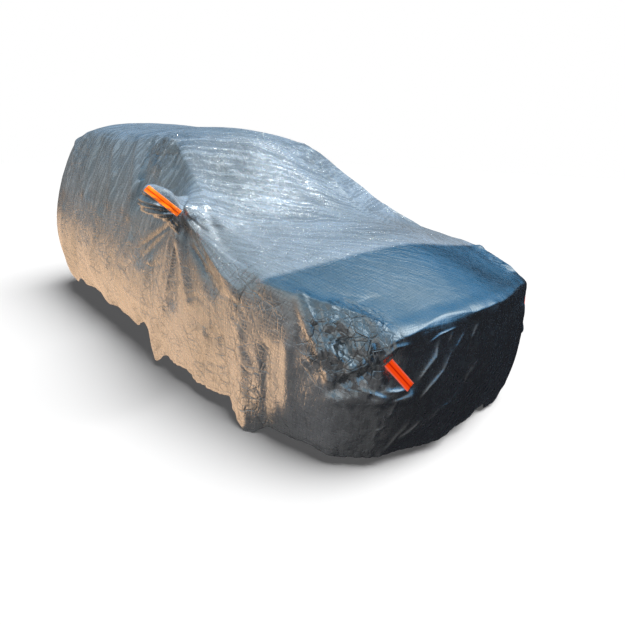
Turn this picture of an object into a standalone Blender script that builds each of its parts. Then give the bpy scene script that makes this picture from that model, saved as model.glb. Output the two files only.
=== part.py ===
"""Fitted car cover for a compact hatchback, draped as it sits on the car.

One cloth hangs from the roof, bonnet and shoulders and is gathered at its hem. A pouch is sewn over
each door mirror, round a hole in the cloth, and orange reflective tape is sewn across each pouch and
on each front corner. The car is left out, so the cover is a hollow shell, open below.

Frame, in metres: +X to the nose, +Y to the car's left, +Z up. The tables measure from the point under
the middle of the cover, at the height of the lowest point of its hem. The finished solids are moved so
that the frame's origin is ORIGIN, where the car's roof top carries the cloth.
"""
import math
from collections import namedtuple

import bmesh
import bpy
import numpy as np
from mathutils import Matrix, Vector, noise

# ---------------------------------------------------------------- driving dimensions
CLOTH = 0.002            # thickness of the film and its backing
POUCH_CLOTH = 0.0016     # thickness of the mirror pouches
TAPE = 0.001             # thickness of the reflective tape
SEWN_GAP = 0.0004        # clearance between layers that are sewn together
ACROSS = 16              # squares across the top panel, from shoulder to shoulder
ORIGIN = (-0.56, 0.00, 1.472)  # the middle of the roof, on the inside of the cloth

# One row for each station, from the middle of the nose round the right side to the middle of the tail.
# Each line of the cover is (x, half width, z) there: the shoulder, where top turns into side; the belly,
# where the side is widest; and the hem. crown is how far the top rises between the two shoulders, boxy is
# how much sooner than by an even curve the side has gone out to its widest, and squares is how many squares
# of the mesh lie between this station and the next.
Station = namedtuple("Station", "place shoulder belly hem crown boxy squares")
STATIONS = (
    Station("nose middle", (2.01, 0.00, 0.725), (2.07, 0.00, 0.395), (2.01, 0.00, 0.075), 0.00, 0.40, 4),
    Station("nose side", (1.93, 0.38, 0.700), (2.00, 0.48, 0.395), (1.97, 0.44, 0.075), 0.00, 0.55, 4),
    Station("front corner", (1.88, 0.60, 0.695), (1.82, 0.77, 0.395), (1.75, 0.73, 0.060), 0.02, 0.65, 6),
    Station("bonnet", (1.45, 0.76, 0.795), (1.36, 0.86, 0.545), (1.25, 0.85, 0.065), 0.06, 0.35, 10),
    Station("windscreen foot", (0.91, 0.79, 0.895), (0.91, 0.88, 0.595), (0.91, 0.87, 0.105), 0.05, 0.00, 8),
    Station("pillar", (0.53, 0.64, 1.135), (0.51, 0.88, 0.645), (0.50, 0.88, 0.125), 0.05, 0.00, 6),
    Station("pillar head", (0.14, 0.55, 1.365), (0.06, 0.88, 0.645), (0.06, 0.85, 0.165), 0.05, 0.00, 7),
    Station("roof middle", (-0.56, 0.59, 1.395), (-0.54, 0.88, 0.655), (-0.54, 0.83, 0.170), 0.06, 0.00, 7),
    Station("roof rear", (-1.21, 0.59, 1.435), (-1.20, 0.88, 0.665), (-1.18, 0.81, 0.165), 0.06, 0.00, 6),
    Station("rear corner", (-1.66, 0.58, 1.355), (-1.87, 0.79, 0.625), (-1.78, 0.73, 0.165), 0.04, 0.00, 4),
    Station("tail side", (-1.79, 0.34, 1.375), (-2.02, 0.45, 0.610), (-1.95, 0.41, 0.165), 0.00, 0.00, 4),
    Station("tail middle", (-1.82, 0.00, 1.375), (-2.06, 0.00, 0.595), (-2.00, 0.00, 0.165), 0.00, 0.00, 0),
)
FRONT_CORNER, REAR_CORNER = 2, 9

# How far down the side each row of the mesh lies, from 0 at the shoulder to 1 at the hem
DOWN = (0.0, 0.04, 0.09, 0.15, 0.22, 0.30, 0.38, 0.47, 0.56, 0.65, 0.74, 0.82, 0.89, 0.95, 1.0)
BELLY_DOWN = 0.55        # how far down the belly lies
CROWN_RUN = 0.17         # share of the top's length over which its crown rises at the nose and at the tail

SHOULDER_ROWS = 2        # rows under the shoulder that are rounded with it, and one square above it
SHOULDER_PASSES = 1      # smoothing passes there

# The mirrors push the cloth out into a tent, whose sides fall away from the pouch
TENT_AT = (0.75, 0.76, 0.96)
TENT_LIFT = (0.03, 0.105, 0.085)
TENT_REACH = 0.17
TENT_BLUNT = 0.25        # how blunt its peak is, as a share of its reach
# The right mirror stands out; the left one is folded in, so its tent and pouch are shallower, and the pouch
# hangs lower. tent and reach are shares of the sizes given here, rows are the rows of the mesh between which
# the pouch is sewn in, and rise is how far it points up, for 1 outwards.
Hand = namedtuple("Hand", "name side tent reach rows rise")
HANDS = (Hand("right", -1, 1.0, 1.0, (1, 4), 0.33), Hand("left", 1, 0.10, 0.62, (3, 6), 0.10))

# Folds. Each runs from start to end over the cloth, as a ridge (height over 0) or a trough (under 0), and its
# half width grows from one end to the other. A side fold is made on the right, and mirrored for the left.
Fold = namedtuple("Fold", "place start end width_start width_end height")
SIDE_FOLDS = (
    Fold("fan, rearward", (0.66, -0.79, 0.98), (0.19, -0.87, 0.70), 0.030, 0.060, -0.018),
    Fold("fan, down and rearward", (0.68, -0.80, 0.96), (0.46, -0.90, 0.49), 0.030, 0.060, 0.016),
    Fold("fan, down", (0.71, -0.80, 0.96), (0.64, -0.89, 0.53), 0.028, 0.045, -0.018),
    Fold("fan, down and forward", (0.74, -0.80, 0.96), (0.82, -0.88, 0.58), 0.028, 0.045, 0.018),
    Fold("fan, steep forward", (0.76, -0.79, 0.97), (1.05, -0.85, 0.70), 0.026, 0.045, -0.018),
    Fold("fan, forward", (0.79, -0.78, 0.98), (1.20, -0.86, 0.72), 0.026, 0.045, 0.016),
    Fold("fan, to the wing", (0.80, -0.76, 0.99), (1.30, -0.83, 0.79), 0.026, 0.050, -0.014),
    Fold("fan, to the windscreen foot", (0.82, -0.73, 1.00), (1.13, -0.66, 0.88), 0.026, 0.050, 0.010),
    Fold("window, front", (0.01, -0.57, 1.355), (0.20, -0.69, 1.12), 0.035, 0.045, 0.014),
    Fold("window, middle", (-0.14, -0.58, 1.355), (0.02, -0.76, 1.00), 0.035, 0.050, -0.014),
    Fold("window, middle ridge", (-0.30, -0.59, 1.36), (-0.10, -0.75, 1.05), 0.035, 0.050, 0.015),
    Fold("window, rear", (-0.61, -0.61, 1.36), (-0.41, -0.79, 0.97), 0.040, 0.060, 0.014),
    Fold("rear door", (-0.92, -0.63, 1.36), (-0.84, -0.79, 1.00), 0.040, 0.060, -0.012),
    Fold("rear quarter", (-1.30, -0.60, 1.35), (-1.42, -0.78, 0.98), 0.040, 0.060, 0.014),
    Fold("rear shoulder", (-1.52, -0.60, 1.33), (-1.30, -0.70, 1.20), 0.040, 0.040, 0.015),
    Fold("belt, front door", (-0.06, -0.72, 1.10), (-0.07, -0.80, 0.92), 0.035, 0.045, 0.014),
    Fold("front door, low", (0.33, -0.87, 0.69), (0.17, -0.89, 0.29), 0.040, 0.050, 0.014),
    Fold("door, low", (0.01, -0.85, 0.76), (-0.27, -0.89, 0.36), 0.040, 0.060, 0.016),
    Fold("rear door, low", (-0.53, -0.83, 0.86), (-0.73, -0.89, 0.41), 0.045, 0.060, 0.016),
    Fold("rear door, trough", (-0.20, -0.81, 0.89), (-0.33, -0.89, 0.56), 0.040, 0.050, -0.014),
    Fold("rear wing, low", (-0.97, -0.82, 0.92), (-1.16, -0.88, 0.39), 0.045, 0.060, -0.016),
    Fold("rear wing, behind the wheel", (-1.38, -0.85, 0.80), (-1.52, -0.83, 0.25), 0.045, 0.060, 0.016),
    Fold("wheel, rear pleat", (0.96, -0.88, 0.43), (0.93, -0.87, 0.10), 0.030, 0.040, 0.016),
    Fold("wheel, middle pleat", (1.09, -0.88, 0.45), (1.10, -0.87, 0.10), 0.030, 0.040, -0.016),
    Fold("wheel, front pleat", (1.25, -0.87, 0.55), (1.26, -0.86, 0.06), 0.035, 0.045, 0.020),
    Fold("wing, stripe", (1.42, -0.85, 0.50), (1.38, -0.83, 0.04), 0.035, 0.045, -0.018),
    Fold("wing, low ridge", (1.55, -0.83, 0.54), (1.55, -0.80, 0.09), 0.035, 0.045, 0.012),
    Fold("wing, streak", (1.55, -0.76, 0.75), (1.71, -0.79, 0.58), 0.022, 0.022, 0.014),
    Fold("wing, streak, lower", (1.71, -0.79, 0.58), (1.77, -0.78, 0.46), 0.022, 0.022, 0.012),
    Fold("corner, upper crumple", (1.67, -0.77, 0.66), (1.79, -0.74, 0.60), 0.026, 0.026, -0.014),
    Fold("corner, middle crumple", (1.74, -0.76, 0.61), (1.83, -0.74, 0.54), 0.026, 0.026, 0.014),
    Fold("corner, facet", (1.89, -0.70, 0.53), (1.80, -0.77, 0.46), 0.026, 0.026, -0.016),
    Fold("corner, lower crumple", (1.88, -0.72, 0.42), (1.76, -0.79, 0.38), 0.028, 0.028, 0.014),
    Fold("ledge under the tape", (1.90, -0.68, 0.40), (1.99, -0.54, 0.40), 0.026, 0.026, 0.020),
)
MIDDLE_FOLDS = (
    Fold("nose crease by the tape", (2.00, -0.42, 0.54), (1.98, -0.51, 0.43), 0.024, 0.024, 0.014),
    Fold("nose crease, long", (2.02, -0.31, 0.56), (2.00, -0.46, 0.38), 0.024, 0.024, 0.014),
    Fold("nose crease, low", (2.05, -0.24, 0.33), (2.00, -0.43, 0.23), 0.026, 0.026, 0.014),
    Fold("nose crease, to the hem", (2.00, -0.44, 0.22), (1.95, -0.54, 0.15), 0.026, 0.026, 0.014),
    Fold("bonnet lip", (1.95, -0.38, 0.69), (1.93, -0.53, 0.64), 0.024, 0.024, -0.012),
    Fold("nose, right of the middle", (2.02, -0.18, 0.65), (2.05, -0.22, 0.38), 0.030, 0.040, -0.012),
    Fold("nose, middle", (2.04, -0.02, 0.66), (2.07, -0.05, 0.38), 0.030, 0.040, 0.012),
    Fold("nose, left of the middle", (2.03, 0.16, 0.62), (2.02, 0.24, 0.13), 0.030, 0.045, -0.014),
    Fold("nose, left", (1.98, 0.40, 0.58), (2.00, 0.42, 0.14), 0.030, 0.045, 0.014),
    Fold("bonnet dent", (1.72, -0.63, 0.74), (1.74, -0.50, 0.75), 0.028, 0.028, -0.014),
    Fold("bonnet dent, long", (1.60, -0.63, 0.77), (1.73, -0.59, 0.74), 0.028, 0.028, -0.010),
    Fold("windscreen, right", (0.36, -0.38, 1.26), (1.05, -0.42, 0.92), 0.045, 0.060, 0.007),
    Fold("windscreen, middle", (0.34, 0.02, 1.28), (1.05, 0.05, 0.95), 0.045, 0.060, -0.007),
    Fold("windscreen, left", (0.36, 0.38, 1.26), (1.05, 0.45, 0.92), 0.045, 0.060, 0.007),
    Fold("tail, right", (-1.95, -0.40, 1.10), (-1.98, -0.44, 0.25), 0.040, 0.060, 0.015),
    Fold("tail, middle", (-1.97, 0.05, 1.10), (-2.03, 0.08, 0.25), 0.040, 0.060, -0.015),
    Fold("tail, left", (-1.95, 0.42, 1.10), (-1.98, 0.38, 0.25), 0.040, 0.060, 0.015),
)
FOLD_DEPTH = 0.30        # a fold moves only the cloth that lies this near its line, and not the far side's

# The hem is drawn up by its elastic into scallops: sine waves along it, in and out and up. The rise comes
# a little after the swing, by HEM_LAG.
Wave = namedtuple("Wave", "pitch swing lift phase")
HEM_WAVES = (Wave(0.62, 0.008, 0.008, 0.4), Wave(0.29, 0.010, 0.007, 1.7), Wave(0.19, 0.006, 0.004, 0.2))
HEM_LAG = 1.1
HEM_REACH = 0.25         # how far down the side, of 1, the scallops begin, counted up from the hem
# Where the hem hangs higher or lower than the stations give, and how far it swings out there
HemCatch = namedtuple("HemCatch", "place x side reach lift out")
HEM_CATCHES = (
    HemCatch("behind the rear wheel", -1.56, -1, 0.07, -0.050, 0.010),
    HemCatch("rear wheel", -1.28, -1, 0.20, 0.030, 0.000),
    HemCatch("rear door", -0.90, -1, 0.15, 0.035, -0.005),
    HemCatch("before the flap", 0.09, -1, 0.08, 0.050, -0.010),
    HemCatch("flap", 0.33, -1, 0.065, -0.095, 0.035),
    HemCatch("sill", 0.82, -1, 0.08, -0.025, 0.005),
    HemCatch("behind the front wheel", 1.09, -1, 0.07, 0.035, -0.005),
    HemCatch("before the front wheel", 1.27, -1, 0.075, -0.075, 0.012),
    HemCatch("wing", 1.62, -1, 0.10, 0.022, 0.000),
    HemCatch("left wheel", 1.20, 1, 0.16, 0.040, 0.000),
    HemCatch("left sill", 0.40, 1, 0.10, -0.035, 0.020),
    HemCatch("left rear wheel", -1.28, 1, 0.20, 0.035, 0.000),
    HemCatch("left of the nose", 1.98, 1, 0.10, -0.040, 0.000),
)

# Uneven cloth between the folds
RUMPLE = 0.006
RUMPLE_SIZE = 0.30

# The mirror pouch replaces a block of the side's squares, and is sewn on by a border one square wide. It grows
# out of that block through rings, each a rounded oblong round the pouch's axis.
POUCH_COLUMNS = (27, 30)
POUCH_BACK = 0.13        # how far it points to the rear, for 1 outwards
Ring = namedtuple("Ring", "out half_length half_height roundness shift_x")
POUCH_RINGS = (
    Ring(0.020, 0.070, 0.066, 3.0, 0.000),
    Ring(0.050, 0.074, 0.070, 3.0, 0.004),
    Ring(0.085, 0.074, 0.074, 2.8, 0.006),
    Ring(0.120, 0.070, 0.075, 2.7, 0.004),
    Ring(0.150, 0.062, 0.070, 2.6, 0.000),
    Ring(0.172, 0.047, 0.056, 2.5, -0.004),
    Ring(0.186, 0.025, 0.032, 2.3, -0.006),
)
POUCH_END = 0.189
POUCH_ROOT = 0.085       # how far out the pouch has left the shape of its hole
POUCH_PLEATS = 7
POUCH_PLEAT_DEPTH = 0.0035

# Reflective tapes: the middle and the direction of each on the right side, mirrored for the left
Tape = namedtuple("Tape", "name on middle along length width")
TAPES = (
    Tape("strip_pocket", "mirror_pocket", (0.76, -0.95, 1.09), (0.00, -0.76, 0.65), 0.190, 0.036),
    Tape("strip_corner", "cover_body", (1.95, -0.59, 0.50), (0.34, 0.57, -0.75), 0.180, 0.038),
)


def catmull_rom(rows, station, part):
    """A point on the smooth curve through rows, part of the way from one station to the next."""
    mirror = np.array((1.0, -1.0, 1.0))
    last = len(rows) - 1
    before = rows[station - 1] if station > 0 else rows[1] * mirror
    after = rows[station + 2] if station + 2 <= last else rows[last - 1] * mirror
    here, there = rows[station], rows[min(station + 1, last)]
    slope_here, slope_there = (there - before) / 2, (after - here) / 2
    square, cube = part ** 2, part ** 3
    return ((2 * cube - 3 * square + 1) * here + (cube - 2 * square + part) * slope_here
            + (3 * square - 2 * cube) * there + (cube - square) * slope_there)


def half_line(line):
    """The points of one line of the cover at every column, from nose to tail round the right side."""
    rows = np.array([getattr(station, line) for station in STATIONS])
    points = []
    for number, station in enumerate(STATIONS):
        for step in range(station.squares):
            points.append(catmull_rom(rows, number, step / station.squares))
    points.append(rows[-1])
    return np.array(points)


def whole_line(half):
    """A half line and its mirror image, as one closed loop that starts at the middle of the nose."""
    right = half * (1.0, -1.0, 1.0)
    left = half[-2:0:-1]
    return np.concatenate((right, left))


SQUARES_TO = np.cumsum([0] + [station.squares for station in STATIONS])
COLUMN_FRONT = int(SQUARES_TO[FRONT_CORNER])
COLUMN_REAR = int(SQUARES_TO[REAR_CORNER])
ALONG = COLUMN_REAR - COLUMN_FRONT
COLUMNS = 2 * int(SQUARES_TO[-1])


def curve_down(down, shoulder, belly, hem):
    """The points this far down a curve from the shoulder through the belly to the hem, at every column."""
    from_shoulder = (down - BELLY_DOWN) * (down - 1) / BELLY_DOWN
    from_belly = down * (1 - down) / (BELLY_DOWN * (1 - BELLY_DOWN))
    from_hem = down * (down - BELLY_DOWN) / (1 - BELLY_DOWN)
    return from_shoulder * shoulder + from_belly * belly + from_hem * hem


def side_rows(shoulder, belly, hem):
    """Every row of the sides. Where they are boxy, a row above the belly lies further out at its height."""
    half = np.interp(np.arange(COLUMNS // 2 + 1), SQUARES_TO[:-1], [station.boxy for station in STATIONS])
    boxy = np.concatenate((half, half[-2:0:-1]))[:, None]
    rows = []
    for down in DOWN:
        ahead = BELLY_DOWN * (down / BELLY_DOWN) ** (1 - boxy) if 0 < down < BELLY_DOWN else down
        row = curve_down(down, shoulder, belly, hem)
        row[:, :2] = curve_down(ahead, shoulder, belly, hem)[:, :2]
        rows.append(row)
    return np.array(rows)


def top_grid(shoulder):
    """The top panel inside the shoulder line: a patch between its four sides, raised by the crown."""
    right = shoulder[COLUMN_FRONT:COLUMN_REAR + 1]
    left = shoulder[[COLUMNS - COLUMN_FRONT - step for step in range(ALONG + 1)]]
    front = shoulder[[(COLUMN_FRONT - step) % COLUMNS for step in range(ACROSS + 1)]]
    rear = shoulder[[COLUMN_REAR + step for step in range(ACROSS + 1)]]
    crowns = np.array([(0.0, 0.0, station.crown) for station in STATIONS])
    crown = []
    for number in range(FRONT_CORNER, REAR_CORNER):
        for step in range(STATIONS[number].squares):
            crown.append(catmull_rom(crowns, number, step / STATIONS[number].squares)[2])
    crown.append(STATIONS[REAR_CORNER].crown)
    grid = np.zeros((ALONG + 1, ACROSS + 1, 3))
    for i in range(ALONG + 1):
        u = (right[0][0] - right[i][0]) / (right[0][0] - right[-1][0])
        for j in range(ACROSS + 1):
            v = j / ACROSS
            between_sides = (1 - v) * right[i] + v * left[i]
            between_ends = (1 - u) * front[j] + u * rear[j]
            corners = ((1 - u) * ((1 - v) * front[0] + v * front[-1])
                       + u * ((1 - v) * rear[0] + v * rear[-1]))
            grid[i, j] = between_sides + between_ends - corners
            grid[i, j, 2] += crown[i] * (1 - (2 * v - 1) ** 2) * min(1.0, u / CROWN_RUN, (1 - u) / CROWN_RUN)
    return grid


def base_mesh():
    """The cover before its folds: an open bmesh of squares, and the rows of the side's vertices."""
    shoulder, belly, hem = (whole_line(half_line(line)) for line in ("shoulder", "belly", "hem"))
    rows = side_rows(shoulder, belly, hem)
    grid = top_grid(shoulder)
    mesh = bmesh.new()
    side = [[mesh.verts.new(point) for point in row] for row in rows]
    top = {(i, j): mesh.verts.new(grid[i, j]) for i in range(1, ALONG) for j in range(1, ACROSS)}
    for i in range(ALONG + 1):
        top[i, 0] = side[0][COLUMN_FRONT + i]
        top[i, ACROSS] = side[0][COLUMNS - COLUMN_FRONT - i]
    for j in range(1, ACROSS):
        top[0, j] = side[0][(COLUMN_FRONT - j) % COLUMNS]
        top[ALONG, j] = side[0][COLUMN_REAR + j]
    for i in range(ALONG):
        for j in range(ACROSS):
            mesh.faces.new((top[i, j], top[i, j + 1], top[i + 1, j + 1], top[i + 1, j]))
    for row in range(len(DOWN) - 1):
        for column in range(COLUMNS):
            beside = (column + 1) % COLUMNS
            mesh.faces.new((side[row][column], side[row][beside], side[row + 1][beside], side[row + 1][column]))
    bmesh.ops.recalc_face_normals(mesh, faces=mesh.faces)
    mesh.normal_update()
    return mesh, side


def spread(mesh, points):
    """Moves the mesh's vertices to points, in their own order."""
    for vert, point in zip(mesh.verts, points):
        vert.co = point
    mesh.normal_update()


def round_shoulders(mesh, side):
    """Smooths the rows on both sides of the shoulder, so that the top rolls over into the sides."""
    band = {vert for row in side[:SHOULDER_ROWS + 1] for vert in row}
    band |= {edge.other_vert(vert) for vert in side[0] for edge in vert.link_edges}
    for _ in range(SHOULDER_PASSES):
        bmesh.ops.smooth_vert(mesh, verts=list(band), factor=0.5,
                              use_axis_x=True, use_axis_y=True, use_axis_z=True)
    mesh.normal_update()


def fade(value):
    """0 below 0, 1 above 1, and smooth between."""
    value = np.clip(value, 0.0, 1.0)
    return value * value * (3 - 2 * value)


def fold_height(points, normals, fold):
    """How far one fold lifts each point along its normal."""
    start, end = np.array(fold.start), np.array(fold.end)
    run = end - start
    part = ((points - start) @ run) / (run @ run)
    nearest = start + np.clip(part, 0.0, 1.0)[:, None] * run
    away = points - nearest
    depth = (away * normals).sum(axis=1)
    flat = away - depth[:, None] * normals
    width = fold.width_start + (fold.width_end - fold.width_start) * np.clip(part, 0.0, 1.0)
    shape = np.exp(-(flat ** 2).sum(axis=1) / width ** 2)
    return fold.height * shape * (np.abs(depth) < FOLD_DEPTH)


def mirrored(fold):
    """The same fold on the car's left side."""
    flip = (1.0, -1.0, 1.0)
    return fold._replace(start=tuple(np.multiply(fold.start, flip)), end=tuple(np.multiply(fold.end, flip)))


def lay_folds(mesh):
    """Raises the folds and the uneven cloth between them."""
    points = np.array([vert.co for vert in mesh.verts])
    normals = np.array([vert.normal for vert in mesh.verts])
    lift = np.array([RUMPLE * noise.noise(Vector(point / RUMPLE_SIZE)) for point in points])
    for fold in SIDE_FOLDS:
        lift += fold_height(points, normals, fold) + fold_height(points, normals, mirrored(fold))
    for fold in MIDDLE_FOLDS:
        lift += fold_height(points, normals, fold)
    spread(mesh, points + lift[:, None] * normals)


def raise_tents(mesh):
    """Pushes the cloth out round each mirror, as a tent that is steepest at the pouch."""
    points = np.array([vert.co for vert in mesh.verts])
    for hand in HANDS:
        flip = np.array((1.0, hand.side, 1.0))
        away = np.linalg.norm(points - np.multiply(TENT_AT, flip), axis=1)
        shape = np.exp(TENT_BLUNT - np.sqrt(away ** 2 / TENT_REACH ** 2 + TENT_BLUNT ** 2))
        points = points + hand.tent * shape[:, None] * np.multiply(TENT_LIFT, flip)
    spread(mesh, points)


def gather_hem(mesh, side):
    """Draws the hem up into its scallops, and lets it hang lower or higher where it is caught."""
    hem = np.array([vert.co for vert in side[-1]])
    steps = np.linalg.norm(np.roll(hem, -1, axis=0) - hem, axis=1)
    along = np.concatenate(((0.0,), np.cumsum(steps)[:-1]))
    length = steps.sum()
    swing, lift = np.zeros(COLUMNS), np.zeros(COLUMNS)
    for wave in HEM_WAVES:
        turns = round(length / wave.pitch)
        angle = 2 * math.pi * turns * along / length + wave.phase
        swing += wave.swing * np.sin(angle)
        lift += wave.lift * np.sin(angle + HEM_LAG)
    for catch in HEM_CATCHES:
        shape = np.exp(-((hem[:, 0] - catch.x) / catch.reach) ** 2) * (hem[:, 1] * catch.side > 0.2)
        swing += catch.out * shape
        lift += catch.lift * shape
    for down, row in zip(DOWN, side):
        share = float(fade((down - 1 + HEM_REACH) / HEM_REACH))
        for column, vert in enumerate(row):
            outward = Vector((vert.normal.x, vert.normal.y, 0.0)).normalized()
            vert.co += share * float(swing[column]) * outward
            vert.co.z += share * float(lift[column])
    mesh.normal_update()


def as_object(name, mesh, thickness, outward, material):
    """An object with the mesh as its cloth: inwards of the mesh, or outwards."""
    data = bpy.data.meshes.new(name)
    mesh.to_mesh(data)
    data.transform(Matrix.Translation(Vector(ORIGIN)).inverted())
    data.materials.append(material)
    data.shade_smooth()
    thing = bpy.data.objects.new(name, data)
    bpy.context.collection.objects.link(thing)
    wall = thing.modifiers.new("cloth", "SOLIDIFY")
    wall.thickness = thickness
    wall.offset = 1.0 if outward else -1.0
    wall.use_even_offset = False
    return thing


def pouch_columns(side):
    """The pouch's first and last column on one side of the car (-1 right, 1 left)."""
    first, last = POUCH_COLUMNS
    return (first, last) if side < 0 else (COLUMNS - last, COLUMNS - first)


def block(grid, rows, columns):
    """The squares of the side that lie between two rows and two columns."""
    inside = {grid[row][column] for row in range(rows[0], rows[1] + 1)
              for column in range(columns[0], columns[1] + 1)}
    return [face for face in {face for vert in inside for face in vert.link_faces}
            if all(vert in inside for vert in face.verts)]


def pouch_mesh(cover, hand):
    """The cloth of one pouch: its sewn border, which copies the cover's own surface, and its rings."""
    side, reach = hand.side, hand.reach
    mesh = cover.copy()
    grid = side_grid(mesh)
    first, last = pouch_columns(side)
    top, bottom = hand.rows
    hole = block(grid, (top, bottom), (first, last))
    border = set(block(grid, (top - 1, bottom + 1), (first - 1, last + 1))) - set(hole)
    rim = ([grid[top][column] for column in range(first, last)]
           + [grid[row][last] for row in range(top, bottom)]
           + [grid[bottom][column] for column in range(last, first, -1)]
           + [grid[row][first] for row in range(bottom, top, -1)])
    if side > 0:
        rim = [rim[(last - first - number) % len(rim)] for number in range(len(rim))]
    lift = [(vert, vert.co + SEWN_GAP * vert.normal) for vert in mesh.verts]
    for vert, point in lift:
        vert.co = point
    bmesh.ops.delete(mesh, geom=[face for face in mesh.faces if face not in border], context="FACES")
    doubled = []
    for number, vert in enumerate(rim):
        beyond = rim[(number + 1) % len(rim)]
        edge = next(edge for edge in vert.link_edges if edge.other_vert(vert) is beyond)
        _, middle = bmesh.utils.edge_split(edge, vert, 0.5)
        doubled += [vert, middle]
    axis = Vector((-POUCH_BACK, side, hand.rise)).normalized()
    root = sum((vert.co for vert in doubled), Vector()) / len(doubled)
    up = Vector((0.0, 0.0, 1.0))
    up = (up - up.dot(axis) * axis).normalized()
    ahead = Vector((1.0, 0.0, 0.0))
    ahead = (ahead - ahead.dot(axis) * axis - ahead.dot(up) * up).normalized()
    count = len(doubled)
    below = doubled
    for ring in POUCH_RINGS:
        loop = []
        out = reach * ring.out * axis
        own = float(fade(ring.out / POUCH_ROOT))
        for number in range(count):
            angle = math.pi / 4 + 2 * math.pi * number / count
            cosine, sine = math.cos(angle), math.sin(angle)
            power = 2 / ring.roundness
            pleat = POUCH_PLEAT_DEPTH * (ring.out / POUCH_END) * math.cos(POUCH_PLEATS * angle)
            length = (ring.half_length + pleat) * math.copysign(abs(cosine) ** power, cosine)
            height = (ring.half_height + pleat) * math.copysign(abs(sine) ** power, sine)
            oblong = root + out + (length + ring.shift_x) * ahead + height * up
            loop.append(mesh.verts.new((doubled[number].co + out).lerp(oblong, own)))
        for number in range(count):
            beside = (number + 1) % count
            mesh.faces.new((below[number], below[beside], loop[beside], loop[number]))
        below = loop
    end = mesh.verts.new(root + reach * POUCH_END * axis + POUCH_RINGS[-1].shift_x * ahead)
    for number in range(count):
        mesh.faces.new((below[number], below[(number + 1) % count], end))
    bmesh.ops.recalc_face_normals(mesh, faces=mesh.faces)
    mesh.normal_update()
    if end.normal.dot(axis) < 0:
        bmesh.ops.reverse_faces(mesh, faces=mesh.faces)
    bmesh.ops.triangulate(mesh, faces=mesh.faces)
    mesh.normal_update()
    return mesh


def side_grid(mesh):
    """The side's vertices as rows and columns: they are the mesh's first ones."""
    mesh.verts.ensure_lookup_table()
    return [[mesh.verts[row * COLUMNS + column] for column in range(COLUMNS)] for row in range(len(DOWN))]


def tape_mesh(under, thickness, tape, side):
    """A tape cut from a copy of the surface that it is sewn to, so that it follows every facet."""
    mesh = under.copy()
    lift = [(vert, vert.co + (thickness + SEWN_GAP) * vert.normal) for vert in mesh.verts]
    for vert, point in lift:
        vert.co = point
    flip = Vector((1.0, -side, 1.0))
    middle, along = Vector(tape.middle) * flip, (Vector(tape.along) * flip).normalized()
    nearest = min(mesh.faces, key=lambda face: (face.calc_center_median() - middle).length)
    facing = nearest.normal.copy()
    along = (along - along.dot(facing) * facing).normalized()
    across = facing.cross(along)
    away = [face for face in mesh.faces if face.normal.dot(facing) < 0
            or (face.calc_center_median() - middle).length > 2 * tape.length]
    bmesh.ops.delete(mesh, geom=away, context="FACES")
    for direction, half in ((along, tape.length / 2), (across, tape.width / 2)):
        for end in (-1, 1):
            parts = mesh.verts[:] + mesh.edges[:] + mesh.faces[:]
            bmesh.ops.bisect_plane(mesh, geom=parts, plane_co=middle + end * half * direction,
                                   plane_no=end * direction, clear_outer=True)
    keep_island(mesh, middle)
    bmesh.ops.triangulate(mesh, faces=mesh.faces)
    mesh.normal_update()
    return mesh


def keep_island(mesh, middle):
    """Deletes every face that no path of faces joins to the one nearest the middle."""
    island = {min(mesh.faces, key=lambda face: (face.calc_center_median() - middle).length)}
    edge_of_it = list(island)
    while edge_of_it:
        face = edge_of_it.pop()
        beside = {other for edge in face.edges for other in edge.link_faces} - island
        island |= beside
        edge_of_it += list(beside)
    bmesh.ops.delete(mesh, geom=[face for face in mesh.faces if face not in island], context="FACES")


def principled(name, colour, metallic, roughness):
    """A plain material."""
    material = bpy.data.materials.new(name)
    material.use_nodes = True
    shader = material.node_tree.nodes["Principled BSDF"]
    shader.inputs["Base Color"].default_value = (*colour, 1.0)
    shader.inputs["Metallic"].default_value = metallic
    shader.inputs["Roughness"].default_value = roughness
    return material


def build():
    for thing in list(bpy.data.objects):
        bpy.data.objects.remove(thing)
    film = principled("silvered film", (0.66, 0.71, 0.77), 0.85, 0.32)
    orange = principled("orange reflective tape", (0.95, 0.22, 0.02), 0.0, 0.40)
    cover, side = base_mesh()
    round_shoulders(cover, side)
    raise_tents(cover)
    lay_folds(cover)
    gather_hem(cover, side)
    bmesh.ops.triangulate(cover, faces=cover.faces)
    cover.normal_update()
    for hand in HANDS:
        pouch = pouch_mesh(cover, hand)
        as_object("mirror_pocket_" + hand.name, pouch, POUCH_CLOTH, True, film)
        for tape in TAPES:
            on_pouch = tape.on == "mirror_pocket"
            under, thickness = (pouch, POUCH_CLOTH) if on_pouch else (cover, 0.0)
            strip = tape_mesh(under, thickness, tape, hand.side)
            as_object(tape.name + "_" + hand.name, strip, TAPE, True, orange)
    grid = side_grid(cover)
    holes = [face for hand in HANDS for face in block(grid, hand.rows, pouch_columns(hand.side))]
    bmesh.ops.delete(cover, geom=holes, context="FACES")
    as_object("cover_body", cover, CLOTH, False, film)


build()
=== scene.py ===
"""Looks of the fitted car cover: one draped sheet of silvered film, a pouch on each side, and orange
reflective tapes. The cover is hollow and open below.

The tables here measure in metres as the cover hangs: +X to the nose, +Y to the left, +Z up, from the point
under the middle of the cover at the height of its hem's lowest point. settle() moves each finished piece to
the model's own frame, whose origin is on the inside of the roof.
"""

import math
from collections import namedtuple

import bmesh
import bpy
import numpy as np
from mathutils import Matrix, Vector, noise
from mathutils.bvhtree import BVHTree


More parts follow.
